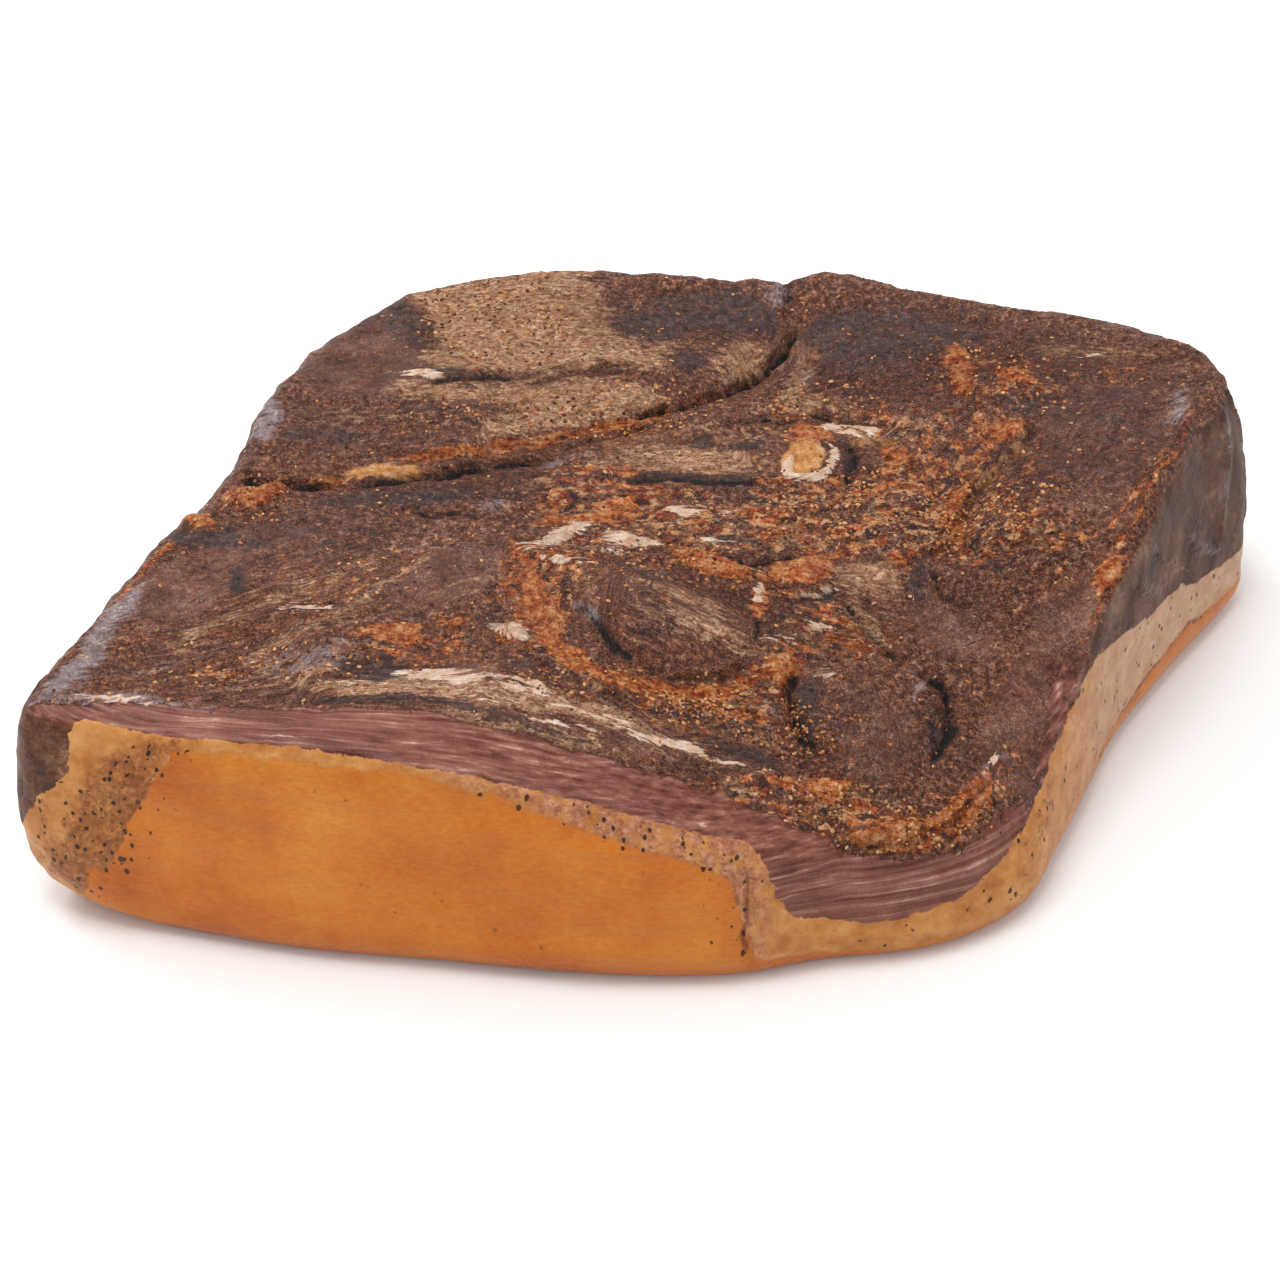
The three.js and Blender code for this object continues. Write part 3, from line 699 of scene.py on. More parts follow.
SMOOTH_LEAN = [  # dry, smooth lean with little spice: middle, half length, half width, turn, strength
    ((-72, -36), 22, 13, 40, 0.9), ((-158, -44), 32, 14, 50, 0.85), ((-130, -18), 20, 9, 10, 0.7),
    ((-110, 92), 34, 24, -54, 0.9), ((84, 94), 42, 24, -14, 0.4), ((156, 40), 26, 30, -20, 0.55),
    ((98, -48), 16, 10, -30, 0.8), ((70, -96), 14, 22, -10, 0.6), ((16, 118), 36, 12, -6, 0.5),
    ((-120, 42), 22, 8, 8, 0.5), ((150, 0), 14, 16, 40, 0.5),
]
SMOOTH_BANK = [(146, -22), (138, -44), (128, -62), (120, -80), (112, -96), (102, -110)]
FIBROUS = [  # where fibres show plainly: middle, half length, half width, turn, strength
    ((0, -54), 32, 19, -24, 1.0), ((10, 33), 36, 9, -4, 1.0), ((-90, -94), 80, 13, 0, 1.0),
    ((10, -112), 50, 9, -10, 0.9), ((-130, -55), 44, 20, 34, 0.8), ((32, 94), 22, 14, 36, 0.9),
    ((66, -40), 16, 22, 20, 0.9), ((-60, 78), 50, 10, 4, 0.6), ((70, 46), 20, 12, -20, 1.0),
    ((-70, 32), 50, 10, 12, 0.8), ((120, 30), 20, 20, 50, 0.6), ((140, 84), 40, 12, -8, 0.5),
]
lay_spots("smoke", SMOKE, 9.0)
lay_spots("smooth", SMOOTH_LEAN, 5.0, on_top)
lay("smooth", stroke(plan, SMOOTH_BANK, 11.0), 4.0, 1.0, on_top)
lay_spots("fibrous", FIBROUS, 6.0, on_top)
print("places of darker, smooth and fibrous lean:", len(SMOKE), len(SMOOTH_LEAN) + 1, len(FIBROUS))

# %% [markdown]
# ## The side: lean, fat and rind in bands
# Seen from the side a ham has three bands: lean meat at the top, a layer of fat, and the rind.
# The bands rise and fall as they go round, because the leg was trimmed unevenly. Two lines tell
# the whole story: the foot of the lean, and the top of the rind, each as heights along the walk.

# %% The two lines round the ham, and the maps that they make
LEAN_FOOT = [  # walk, height in mm
    (0, 30), (6, 40), (12, 48), (16, 58), (19, 70), (21, 84), (50, 84.5), (130, 84), (150, 81), (180, 76),
    (200, 71), (220, 66), (240, 60), (250, 56), (254, 48), (258, 36), (265, 26), (280, 20), (300, 18.5),
    (320, 22), (335, 27), (345, 32), (360, 38), (380, 45), (395, 50), (410, 55), (425, 57), (440, 52),
    (460, 47), (480, 43), (495, 40), (505, 35), (520, 30), (540, 27), (575, 30), (620, 33), (660, 27),
    (710, 31), (760, 26), (820, 31), (880, 27), (940, 32), (1000, 28), (1060, 33), (1110, 27), (1150, 21),
]
RIND_TOP = [
    (0, -12), (16, 0), (24, 14), (32, 28), (38, 42), (45, 56), (50, 69), (54, 79), (80, 79), (120, 79.5),
    (140, 78), (160, 73), (180, 68), (200, 61), (220, 55), (236, 49), (243, 42), (247, 24), (252, 9),
    (300, 5), (340, 5), (400, 7), (440, 10), (460, 11.5), (480, 15), (500, 17), (520, 14), (540, 12.5),
    (560, 11), (620, 13), (680, 10), (740, 14), (800, 10), (860, 12), (920, 9), (980, 13), (1040, 10),
    (1100, 8), (1150, 3),
]


def line_height(line, where):
    """Height of one of the lines at each walk."""
    walks, heights = zip(*line)
    return np.interp(where, walks, heights, period=whole_walk)


LINE_EDGE = 3.0  # mm over which one band gives way to the next
on_side = 1.0 - soft_step(normal[:, 2], 0.72, 0.88)
at_left_end = soft_step(around, -40, 0) * (1.0 - soft_step(around, 48, 66))
frayed = at_left_end * rough_noise(beside, 13.0, 4, 91)
below_lean = line_height(LEAN_FOOT, side_plan[:, 0] + 3.0 * frayed) - side_plan[:, 1] + 3.0 * frayed
below_rind = line_height(RIND_TOP, side_plan[:, 0] + 4.0 * frayed) - side_plan[:, 1] - 3.0 * frayed
underneath = soft_step(-normal[:, 2], 0.5, 0.9) * soft_step(around, -20.0, 30.0)
tissue["fat"] = np.clip(0.5 + below_lean / LINE_EDGE, 0.0, 1.0) * on_side
tissue["rind"] = np.maximum(np.clip(0.5 + below_rind / LINE_EDGE, 0.0, 1.0) * on_side, underneath)
tissue["rind"][height < 0.5 * FLAT_BAND] = 1.0
print("heights of the rind's top, mm:", min(z for _, z in RIND_TOP), "to", max(z for _, z in RIND_TOP))

# %% Lean on the side: striped round the front, plain elsewhere, with membranes that carry a painted sheen
bare_lean = (1.0 - tissue["fat"]) * (1.0 - on_top)
corner_band = soft_step(walk, 14, 30) * (1.0 - soft_step(walk, 400, 430))
tissue["crest"] = np.maximum(tissue["crest"], corner_band * bare_lean)
tissue["flank"] = (1.0 - corner_band) * bare_lean
MEMBRANES = [  # line on the side (walk, height), half width, strength
    ([(546, 90), (540, 74), (532, 58), (528, 44)], 4.0, 0.45),
    ([(556, 88), (552, 60), (548, 36)], 2.0, 0.4),
    ([(498, 62), (508, 50), (520, 40), (536, 34)], 3.0, 0.45),
    ([(462, 80), (474, 66), (488, 54), (500, 44)], 1.6, 0.6),
    ([(446, 72), (458, 62), (474, 52)], 2.4, 0.5),
    ([(600, 86), (606, 64), (598, 42)], 5.0, 0.6), ([(700, 84), (690, 62), (700, 40)], 4.0, 0.5),
    ([(790, 88), (800, 60), (794, 40)], 6.0, 0.6), ([(905, 86), (898, 64), (910, 42)], 5.0, 0.6),
    ([(1010, 86), (1018, 64), (1008, 40)], 4.0, 0.5), ([(1105, 84), (1098, 56), (1110, 34)], 5.0, 0.6),
]
MEMBRANE_RISE = 0.9  # mm
for line, half_width, strength in MEMBRANES:
    # the membranes are silverskin with a painted sheen
    lay("silverskin_and_sheen", stroke(side_plan, line, half_width), 3.0, strength, bare_lean)
    distance, share, _ = near_line(side_plan, smooth_line(line))
    relief += MEMBRANE_RISE * np.exp(-((distance / (0.5 * half_width)) ** 2)) * bare_lean
print("membranes:", len(MEMBRANES))

# %% Marks on the side: black pores in the fat, an orange rim, and folds in the rind
SPECKS = [  # pores: middle on the side, half length, half height, turn, strength
    ((34, 50), 15, 36, -18, 0.9), ((24, 26), 14, 14, -30, 1.0), ((52, 80), 6, 5, 0, 1.0),
    ((34, 30), 7, 9, -20, 1.0), ((44, 74), 8, 10, 0, 0.9), ((14, 52), 8, 20, -20, 0.6),
    ((150, 80), 10, 3, -16, 0.5), ((205, 64), 26, 6, -16, 0.8), ((243, 40), 6, 20, 0, 0.8),
    ((330, 16), 36, 6, 4, 0.5), ((365, 32), 22, 8, 20, 0.7), ((430, 32), 60, 22, 0, 0.35),
    ((520, 20), 40, 10, 0, 0.3), ((-40, 20), 40, 12, 0, 0.5),
]
RIGHT_RIM = [(188, 54), (181, 31), (170, 10), (163, -7), (153, -22), (147, -38), (141, -52)]
RIM_RISE = 1.4  # mm
# the strength of a fold is how dark its painted shade is in the material
FOLDS = [  # line on the side, half width, depth, strength
    ([(246, 52), (248, 36), (247, 20), (250, 6)], 1.0, 1.2, 0.8),
    ([(254, 44), (257, 30), (255, 14)], 0.8, 0.8, 0.5),
    ([(50, 76), (48, 66), (42, 52), (36, 40), (30, 28)], 1.2, 0.9, 0.55),
    ([(440, 10), (470, 14), (498, 17), (524, 13)], 0.9, 0.8, 0.9),
    ([(390, 6), (415, 8), (440, 10)], 0.7, 0.6, 0.7),
]
lay_spots("speck", SPECKS, 5.0, tissue["fat"], left_end)
orange_ridge = stroke(side_plan, [(410, 57), (425, 59), (440, 54), (455, 49)], 3.0)
lay("orange", orange_ridge, 2.0, 0.9, on_side)
rim_line = stroke(plan, RIGHT_RIM, 1.2)
lay("orange", rim_line, 1.4, 0.85)
relief += RIM_RISE * np.clip(1.0 + rim_line / 4.0, 0.0, 1.0) ** 2
for line, half_width, depth, strength in FOLDS:
    inside = stroke(side_plan, line, half_width)
    lay("fold", inside, 1.2, strength, 1.0 - on_top)
    relief -= depth * np.clip(1.0 + inside / 3.0, 0.0, 1.0) ** 2 * (1.0 - on_top)
tissue["pink"] = soft_step(walk, 110, 190) * (1.0 - soft_step(walk, 246, 262))
lay("yellow", stroke(side_plan, [(54, 81.5), (90, 81), (130, 81)], 2.4), 2.0, 0.7, on_side)
print("pores drawn in", len(SPECKS), "places")

# %% Where the rind is darker, and where the fat is paler
DEEP_RIND = [  # middle on the side, half length, half height, turn, strength
    # the long band at a height of 2 mm runs along the foot of the rind and makes it darker towards the
    # table
    ((66, 66), 24, 16, -20, 0.6), ((120, 76), 80, 7, -2, 0.55), ((120, 2), 160, 6, 0, 0.8),
    ((190, 40), 40, 8, -14, 0.35), ((248, 20), 4, 26, 0, 0.5), ((40, 20), 10, 20, 0, 0.6),
]
lay_spots("deep", DEEP_RIND, 9.0, sheet=left_end)
tissue["peach"] = soft_step(around, 360, 470) * (1.0 - tissue["rind"])
lay("peach", spot(left_end, (-120, 30), 90, 30), 20.0, 0.7)
print("share of the side with rind:", round(float(tissue["rind"][on_top < 0.5].mean()), 2))

# %% [markdown]
# ## Fine relief, and moving the points
# Fibres stand as low ridges along the grain, the crust is crumbly, fat is lumpy and the rind is
# nearly smooth. Each has its own noise, weighed by its tissue's map. The sum of all reliefs moves
# each point along its own normal. Near the table the relief fades out, so that the ham lies flat.

# %% Noise for each tissue
LIFT_OFF = (0.5, 6.0)  # mm above the table where the relief fades in
side_share = 1.0 - on_top
bare_fat = tissue["fat"] * (1.0 - tissue["rind"])
crumbly = np.maximum(tissue["crust"], 0.7 * tissue["mottle"])
rim = soft_step(normal[:, 2], 0.1, 0.45) * (1.0 - soft_step(normal[:, 2], 0.75, 0.95))
FINE_RELIEF = [  # height in mm, where the noise is laid, its size in mm, layers, seed, and tissue
    (0.45, grain, (26.0, 3.4, 8.0), 2, 31, on_top * (1.0 - tissue["crust"])),
    (0.55, grain, (14.0, 7.0, 9.0), 3, 35, on_top),
    (0.55, point, 3.6, 2, 41, crumbly),
    (0.9, point, 30.0, 2, 47, on_top),
    (0.5, grain, (9.0, 5.0, 5.0), 3, 51, tissue["mottle"]),
    (0.45, beside, (40.0, 4.0, 4.0), 2, 57, tissue["crest"]),
    (0.45, point, (14.0, 14.0, 8.0), 3, 61, bare_fat),
    (0.5, point, (50.0, 50.0, 24.0), 2, 67, tissue["rind"]),
    (0.8, point, (12.0, 12.0, 22.0), 3, 71, side_share * (1.0 - tissue["fat"])),
    (0.9, point, 9.0, 3, 77, rim * (1.0 - tissue["rind"])),
]
for rise, places, size, layers, seed, share in FINE_RELIEF:
    relief += rise * rough_noise(places, size, layers, seed) * share
print("whole relief in mm:", round(float(relief.min()), 1), "to", round(float(relief.max()), 1))

# %% Move the points
lift = soft_step(height, *LIFT_OFF)
moved = point + normal * (relief * lift)[:, None]
moved[:, 2] = np.maximum(moved[:, 2], 0.0)
ham.data.vertices.foreach_set("co", (moved * MM).astype(np.float32).ravel())
ham.data.shade_smooth()
ham.data.update()
print("height of the ham in mm:", round(float(moved[:, 2].max()), 1))


# %% Store the maps on the mesh
def store(mesh, name, values):
    """Keep one number or one vector for each point, under a name that a material can read."""
    kind, field = ("FLOAT", "value") if values.ndim == 1 else ("FLOAT_VECTOR", "vector")
    attribute = mesh.attributes.new(name, kind, "POINT")
    attribute.data.foreach_set(field, values.astype(np.float32).ravel())


for name, values in tissue.items():
    store(ham.data, name, values)
store(ham.data, "seam_painted_shade", seam_painted_shade)
store(ham.data, "grain", grain)
store(ham.data, "beside", beside)
print("maps stored:", len(ham.data.attributes))

# %% [markdown]
# ## The material of the ham
# One material covers the ham, because the tissues run into each other. It works as a painter
# does, from the bottom layer up: lean meat with painted shade in its creases, mottling, fat,
# crust, smoke, painted glints, black smoke with painted shade in hollows, silverskin with painted
# sheen, painted shade in the seams, then fat and rind on the side with painted shade in the rind's
# folds. Each layer has its own colours from noise, and its map says where it shows. Sizes are in
# millimetres. The class below only makes the node tree quicker to write.

# %% A short way to write node trees
ALBEDO = 0.88  # a colour as it looks in the light, times this, is the colour of the surface itself
VEIL = 0.024  # the light that gloss adds to every colour, taken off first
DARKEST = 0.002  # the least that is left of a colour without the veil


def linear(*colour):
    """A colour with sides from 0 to 255 as a screen shows it, as linear light for a surface."""
    shares = [side / 255 for side in colour]
    light = [share / 12.92 if share <= 0.04045 else ((share + 0.055) / 1.055) ** 2.4 for share in shares]
    return tuple(ALBEDO * max(side - VEIL, DARKEST) for side in light) + (1.0,)


class Recipe:
    """The node tree of one material, with a method for each kind of node that it needs."""

    def __init__(self, name):
        self.material = bpy.data.materials.new(name)
        self.material.use_nodes = True
        self.tree = self.material.node_tree
        self.shader = self.tree.nodes["Principled BSDF"]

    def add(self, kind, inputs, **settings):
        """A node with its settings, and with each input joined to a socket or set to a value."""
        made = self.tree.nodes.new(kind)
        for key, value in settings.items():
            setattr(made, key, value)
        for key, value in inputs.items():
            if isinstance(value, bpy.types.NodeSocket):
                self.tree.links.new(value, made.inputs[key])
            else:
                made.inputs[key].default_value = value
        return made

    def read(self, name):
        """A map that is stored on the mesh."""
        made = self.add("ShaderNodeAttribute", {}, attribute_name=name)
        return made.outputs["Fac"]

    def read_place(self, name, size=(1.0, 1.0, 1.0)):
        """A place that is stored on the mesh in mm, divided by a size in mm."""
        made = self.add("ShaderNodeAttribute", {}, attribute_name=name)
        scale = tuple(1 / side for side in size)
        return self.add("ShaderNodeVectorMath", {0: made.outputs["Vector"], 1: scale},
                        operation="MULTIPLY").outputs["Vector"]

    def shift(self, place, by, reach):
        """A place moved to and fro by the colours of a noise."""
        centred = self.add("ShaderNodeVectorMath", {0: by, 1: (0.5, 0.5, 0.5)}, operation="SUBTRACT")
        scaled = self.add("ShaderNodeVectorMath", {0: centred.outputs[0], "Scale": reach},
                          operation="SCALE")
        return self.add("ShaderNodeVectorMath", {0: place, 1: scaled.outputs[0]},
                        operation="ADD").outputs[0]

    def object_place(self, size):
        """The place in the object, divided by a size in mm."""
        place = self.add("ShaderNodeTexCoord", {}).outputs["Object"]
        return self.add("ShaderNodeVectorMath", {0: place, "Scale": 1 / (MM * size)},
                        operation="SCALE").outputs["Vector"]

    def noise(self, place, detail=3.0, roughness=0.6, low=0.3, high=0.7):
        """Noise with features one unit wide, spread so that it fills 0 to 1."""
        made = self.add("ShaderNodeTexNoise", {"Vector": place, "Scale": 1.0, "Detail": detail,
                                               "Roughness": roughness})
        return self.level(made.outputs["Fac"], low, high, smooth=False)

    def cells(self, place):
        """Cells one unit wide: distance from the middle of the cell, and its own random colour."""
        made = self.add("ShaderNodeTexVoronoi", {"Vector": place, "Scale": 1.0})
        parts = self.add("ShaderNodeSeparateColor", {"Color": made.outputs["Color"]})
        return made.outputs["Distance"], parts.outputs["Red"], parts.outputs["Green"]

    def level(self, value, low, high, smooth=True, to=(0.0, 1.0)):
        """A range of values stretched to 0 and 1."""
        kind = "SMOOTHSTEP" if smooth else "LINEAR"
        inputs = {"Value": value, "From Min": low, "From Max": high, "To Min": to[0], "To Max": to[1]}
        return self.add("ShaderNodeMapRange", inputs, interpolation_type=kind).outputs["Result"]

    def maths(self, operation, a, b=0.0):
        """Sum, product and so on of two values."""
        return self.add("ShaderNodeMath", {0: a, 1: b}, operation=operation).outputs["Value"]

    def sum(self, *parts):
        """Values added up, each times its own share. A value of 1.0 adds its share as it is."""
        total = 0.0
        for value, share in parts:
            total = self.add("ShaderNodeMath", {0: value, 1: share, 2: total},
                             operation="MULTIPLY_ADD").outputs["Value"]
        return total

    def edge(self, inside, ragged, reach=0.8, soft=0.12):
        """A map's edge broken up by noise, which stops where the map is 0."""
        wander = self.maths("MULTIPLY", self.maths("SUBTRACT", ragged, 0.5), reach)
        wander = self.maths("MULTIPLY", wander, self.level(inside, 0.0, 0.3))
        return self.level(self.maths("ADD", inside, wander), 0.5 - soft, 0.5 + soft)

    def ramp(self, value, *stops):
        """Colours along a value: pairs of a position and a colour as the eye sees it."""
        made = self.add("ShaderNodeValToRGB", {"Fac": value})
        colours = made.color_ramp.elements
        while len(colours) < len(stops):
            colours.new(0.5)
        for element, (position, colour) in zip(colours, stops):
            element.position = position
            element.color = linear(*colour)
        return made.outputs["Color"]

    def tint(self, value, *stops):
        """Factors for red, green and blue along a value, to multiply a colour by."""
        made = self.ramp(value, *((position, (0, 0, 0)) for position, _ in stops))
        for element, (_, factors) in zip(made.node.color_ramp.elements, stops):
            element.color = factors + (1.0,)
        return made

    def mix(self, amount, under, over, blend="MIX"):
        """One colour laid over another."""
        made = self.add("ShaderNodeMix", {0: amount, 6: under, 7: over}, data_type="RGBA",
                        blend_type=blend)
        return made.outputs[2]

    def coat(self, under, amount, over, share=1.0):
        """A coat of colour laid over another where a map says, times a share."""
        if share < 1.0:
            amount = self.maths("MULTIPLY", amount, share)
        return self.mix(amount, under, over)

    def times(self, under, factors):
        """A colour multiplied by factors."""
        return self.mix(1.0, under, factors, "MULTIPLY")

    def grey(self, value):
        """A grey as light as a value."""
        return self.add("ShaderNodeCombineColor", {0: value, 1: value, 2: value}).outputs[0]

    def blend(self, amount, under, over):
        """One value laid over another."""
        return self.add("ShaderNodeMix", {0: amount, 2: under, 3: over}).outputs[0]


meat = Recipe("cured meat")
print("recipe started:", meat.material.name)

# %% Noises that the layers share
streaks = meat.noise(meat.read_place("grain", (9.0, 1.5, 2.4)), 5.0, 0.68)
thread = meat.noise(meat.read_place("grain", (4.0, 0.5, 1.0)), 2.0, 0.6)
ragged = meat.noise(meat.object_place(4.2), 7.0, 0.72, 0.34, 0.66)
torn = meat.noise(meat.read_place("grain", (9.0, 2.2, 3.0)), 6.0, 0.7, 0.34, 0.66)
patches = meat.noise(meat.object_place(15.0), 4.0, 0.62)
blotch = meat.noise(meat.object_place(5.0), 5.0, 0.7)
grains = meat.noise(meat.object_place(2.4), 4.0, 0.7)
grit = meat.noise(meat.object_place(1.1), 3.0, 0.7)
sway = meat.add("ShaderNodeTexNoise", {"Vector": meat.object_place(5.0), "Scale": 1.0, "Detail": 4.0})
_, flake_pick, flake_tint = meat.cells(meat.read_place("grain", (1.7, 0.8, 1.0)))
chunk_place = meat.shift(meat.read_place("grain", (15.0, 5.5, 8.0)), sway.outputs["Color"], 1.6)
_, chunk_pick, chunk_tint = meat.cells(chunk_place)
morsel_place = meat.shift(meat.read_place("grain", (3.4, 2.1, 2.6)), sway.outputs["Color"], 1.8)
_, morsel_pick, morsel_tint = meat.cells(morsel_place)
fleck_far, fleck_pick, fleck_tint = meat.cells(meat.read_place("grain", (2.6, 1.2, 1.6)))
print("nodes so far:", len(meat.tree.nodes))

# %% Lean meat, brown in places and smooth in others, with creases along the grain and painted shade in them
granular = meat.sum((grains, 0.52), (grit, 0.3), (blotch, 0.18))
streaky = meat.sum((streaks, 0.6), (thread, 0.22), (grit, 0.18))
fibres = meat.blend(meat.read("fibrous"), granular, streaky)
lean = meat.ramp(fibres, (0.16, (50, 29, 24)), (0.4, (94, 60, 50)), (0.58, (126, 87, 73)),
                 (0.84, (178, 142, 124)))
brown_lean = meat.ramp(fibres, (0.16, (46, 25, 18)), (0.4, (92, 55, 40)), (0.58, (126, 80, 57)),
                       (0.84, (174, 124, 92)))
brownness = meat.level(meat.sum((patches, 0.7), (chunk_tint, 0.3)), 0.32, 0.78)
colour = meat.mix(brownness, lean, brown_lean)
smooth_tone = meat.sum((patches, 0.4), (blotch, 0.25), (grains, 0.2), (grit, 0.15))
smooth_lean = meat.ramp(smooth_tone, (0.2, (60, 34, 28)), (0.42, (98, 63, 53)), (0.6, (123, 84, 70)),
                        (0.82, (160, 124, 108)))
smooth = meat.edge(meat.read("smooth"), ragged, 0.8, 0.2)
colour = meat.coat(colour, smooth, smooth_lean, 0.85)
chunk_shade = meat.grey(meat.level(chunk_pick, 0.0, 1.0, to=(0.84, 1.18)))
colour = meat.times(colour, chunk_shade)
crease_line = meat.noise(meat.read_place("grain", (30.0, 6.0, 7.0)), 4.0, 0.6, 0.0, 1.0)
off_line = meat.maths("ABSOLUTE", meat.maths("SUBTRACT", crease_line, 0.5))
crease = meat.maths("MULTIPLY", meat.level(off_line, 0.012, 0.0), meat.level(blotch, 0.45, 0.7))
# painted shade: the fine creases are darkened in the colour as their shadow would be
crease_painted_shade = linear(44, 26, 21)
colour = meat.coat(colour, crease, crease_painted_shade, 0.8)
print("nodes so far:", len(meat.tree.nodes))

# %% Mottling, and smoked fat, which is orange
mottle_tone = meat.sum((grains, 0.5), (blotch, 0.3), (torn, 0.2))
warm = meat.ramp(mottle_tone, (0.16, (56, 28, 20)), (0.36, (106, 52, 33)), (0.5, (150, 82, 48)),
                 (0.64, (184, 114, 70)), (0.84, (214, 164, 122)))
cool = meat.ramp(mottle_tone, (0.16, (52, 35, 30)), (0.36, (90, 60, 49)), (0.5, (126, 90, 69)),
                 (0.64, (166, 128, 100)), (0.84, (204, 176, 150)))
mottled = meat.mix(meat.level(blotch, 0.35, 0.65), warm, cool)
torn_pick = meat.sum((chunk_pick, 1.0), (ragged, 0.4))
mottled = meat.coat(mottled, meat.level(torn_pick, 0.52, 0.46, to=(0.0, 0.9)), lean)
fat_tone = meat.sum((grains, 0.35), (blotch, 0.45), (torn, 0.2))
orange_fat = meat.ramp(fat_tone, (0.2, (86, 36, 22)), (0.37, (146, 70, 36)), (0.5, (184, 104, 57)),
                       (0.63, (208, 140, 90)), (0.84, (232, 184, 142)))
mottled = meat.coat(mottled, meat.level(torn_pick, 0.96, 1.04, to=(0.0, 0.9)), orange_fat)
morsel_shade = meat.grey(meat.level(morsel_tint, 0.0, 1.0, to=(0.62, 1.34)))
mottled = meat.times(mottled, morsel_shade)
bite = meat.sum((morsel_pick, 1.0), (grit, 0.16))
burnt_morsel = linear(54, 32, 25)
pale_morsel = linear(206, 154, 110)
mottled = meat.coat(mottled, meat.level(bite, 0.2, 0.17, to=(0.0, 0.85)), burnt_morsel)
mottled = meat.coat(mottled, meat.level(bite, 0.96, 0.99, to=(0.0, 0.85)), pale_morsel)
mottle = meat.edge(meat.read("mottle"), ragged, 1.1)
colour = meat.coat(colour, mottle, mottled)
orange = meat.edge(meat.read("orange"), meat.sum((ragged, 0.5), (torn, 0.5)), 1.3, 0.08)
colour = meat.coat(colour, orange, orange_fat, 0.95)
print("nodes so far:", len(meat.tree.nodes))

# %% Spice crust: a dusting, and flakes that cover most of the meat
crust_reach = meat.sum((meat.read("crust"), 1.0), (ragged, 0.6), (torn, 0.6), (1.0, -0.6))
dust_tone = meat.blend(meat.read("fibrous"), mottle_tone, streaky)
dusted = meat.ramp(dust_tone, (0.16, (100, 66, 48)), (0.38, (156, 112, 84)), (0.58, (188, 148, 118)),
                   (0.82, (220, 190, 162)))
crusted = meat.level(crust_reach, 0.3, 0.75)
colour = meat.coat(colour, crusted, dusted, 0.92)
cover = meat.level(crust_reach, 0.3, 0.85, to=(0.0, 0.75))
flake_colour = meat.ramp(flake_tint, (0.0, (104, 62, 40)), (0.3, (156, 112, 84)), (0.7, (192, 150, 120)),
                         (1.0, (226, 192, 162)))
flakes = meat.level(meat.maths("SUBTRACT", cover, flake_pick), -0.02, 0.05)
colour = meat.coat(colour, flakes, flake_colour, 0.6)
brushed = meat.tint(thread, (0.1, (0.74, 0.72, 0.7)), (0.5, (1.0, 1.0, 1.0)), (0.9, (1.2, 1.2, 1.2)))
colour = meat.coat(colour, crusted, meat.times(colour, brushed))
print("nodes so far:", len(meat.tree.nodes))

# %% Flecks of spice all over the cut top, thick in some patches and thin in others
fleck_share = meat.level(blotch, 0.35, 0.9, to=(0.02, 0.34))
fleck_share = meat.maths("MULTIPLY", fleck_share, meat.blend(smooth, 1.0, 0.3))
picked = meat.level(meat.maths("SUBTRACT", fleck_share, fleck_pick), -0.02, 0.02)
fleck_size = meat.sum((fleck_tint, 0.3), (grit, 0.22))
fleck_reach = meat.level(meat.maths("SUBTRACT", fleck_size, fleck_far), -0.03, 0.06)
fleck = meat.maths("MULTIPLY", fleck_reach, picked)
fleck_colour = meat.ramp(flake_tint, (0.0, (98, 52, 30)), (0.3, (158, 92, 54)), (0.7, (196, 134, 86)),
                         (1.0, (222, 176, 130)))
colour = meat.coat(colour, fleck, fleck_colour, 0.85)
smoke = meat.sum((meat.read("smoke"), 1.0), (patches, 0.4), (1.0, -0.2))
smoked = meat.tint(smoke, (0.0, (1.0, 1.0, 1.0)), (0.5, (0.7, 0.61, 0.58)), (1.0, (0.46, 0.36, 0.32)))
smoke_bites = meat.blend(orange, 1.0, 0.3)
colour = meat.coat(colour, smoke_bites, meat.times(colour, smoked))
gritty = meat.tint(grit, (0.1, (0.62, 0.58, 0.56)), (0.5, (1.0, 1.0, 1.0)), (0.9, (1.38, 1.33, 1.28)))
colour = meat.coat(colour, meat.blend(smooth, 0.85, 0.4), meat.times(colour, gritty))
print("nodes so far:", len(meat.tree.nodes))

# %% Painted glints, black smoke with painted shade, and silverskin with painted sheen
# painted highlight: tiny pale specks of colour stand in for glints of light on the lean
glint_speckle = meat.noise(meat.object_place(0.55), 2.0, 0.6)
glint_share = meat.level(patches, 0.35, 0.7, to=(0.1, 0.5))
painted_glint = meat.maths("MULTIPLY", meat.level(glint_speckle, 0.72, 0.95), glint_share)
painted_glint_colour = linear(186, 172, 170)
colour = meat.coat(colour, painted_glint, painted_glint_colour)
# black smoke, partly painted shade in hollows and seams
char_and_shade = meat.edge(meat.read("char_and_shade"), torn, 0.9, 0.1)
char_and_shade_colour = meat.ramp(fibres, (0.2, (44, 34, 33)), (0.55, (82, 66, 64)), (0.9, (128, 108, 104)))
colour = meat.coat(colour, char_and_shade, char_and_shade_colour, 0.85)
# silverskin with a painted sheen: its palest colours stand in for light caught on rims and membranes
silverskin_and_sheen = meat.edge(meat.read("silverskin_and_sheen"), torn, 0.8, 0.35)
silverskin_and_sheen_colour = meat.ramp(fibres, (0.15, (120, 102, 103)), (0.55, (164, 148, 149)),
                          (0.9, (220, 210, 210)))
colour = meat.coat(colour, silverskin_and_sheen, silverskin_and_sheen_colour, 0.82)
print("nodes so far:", len(meat.tree.nodes))

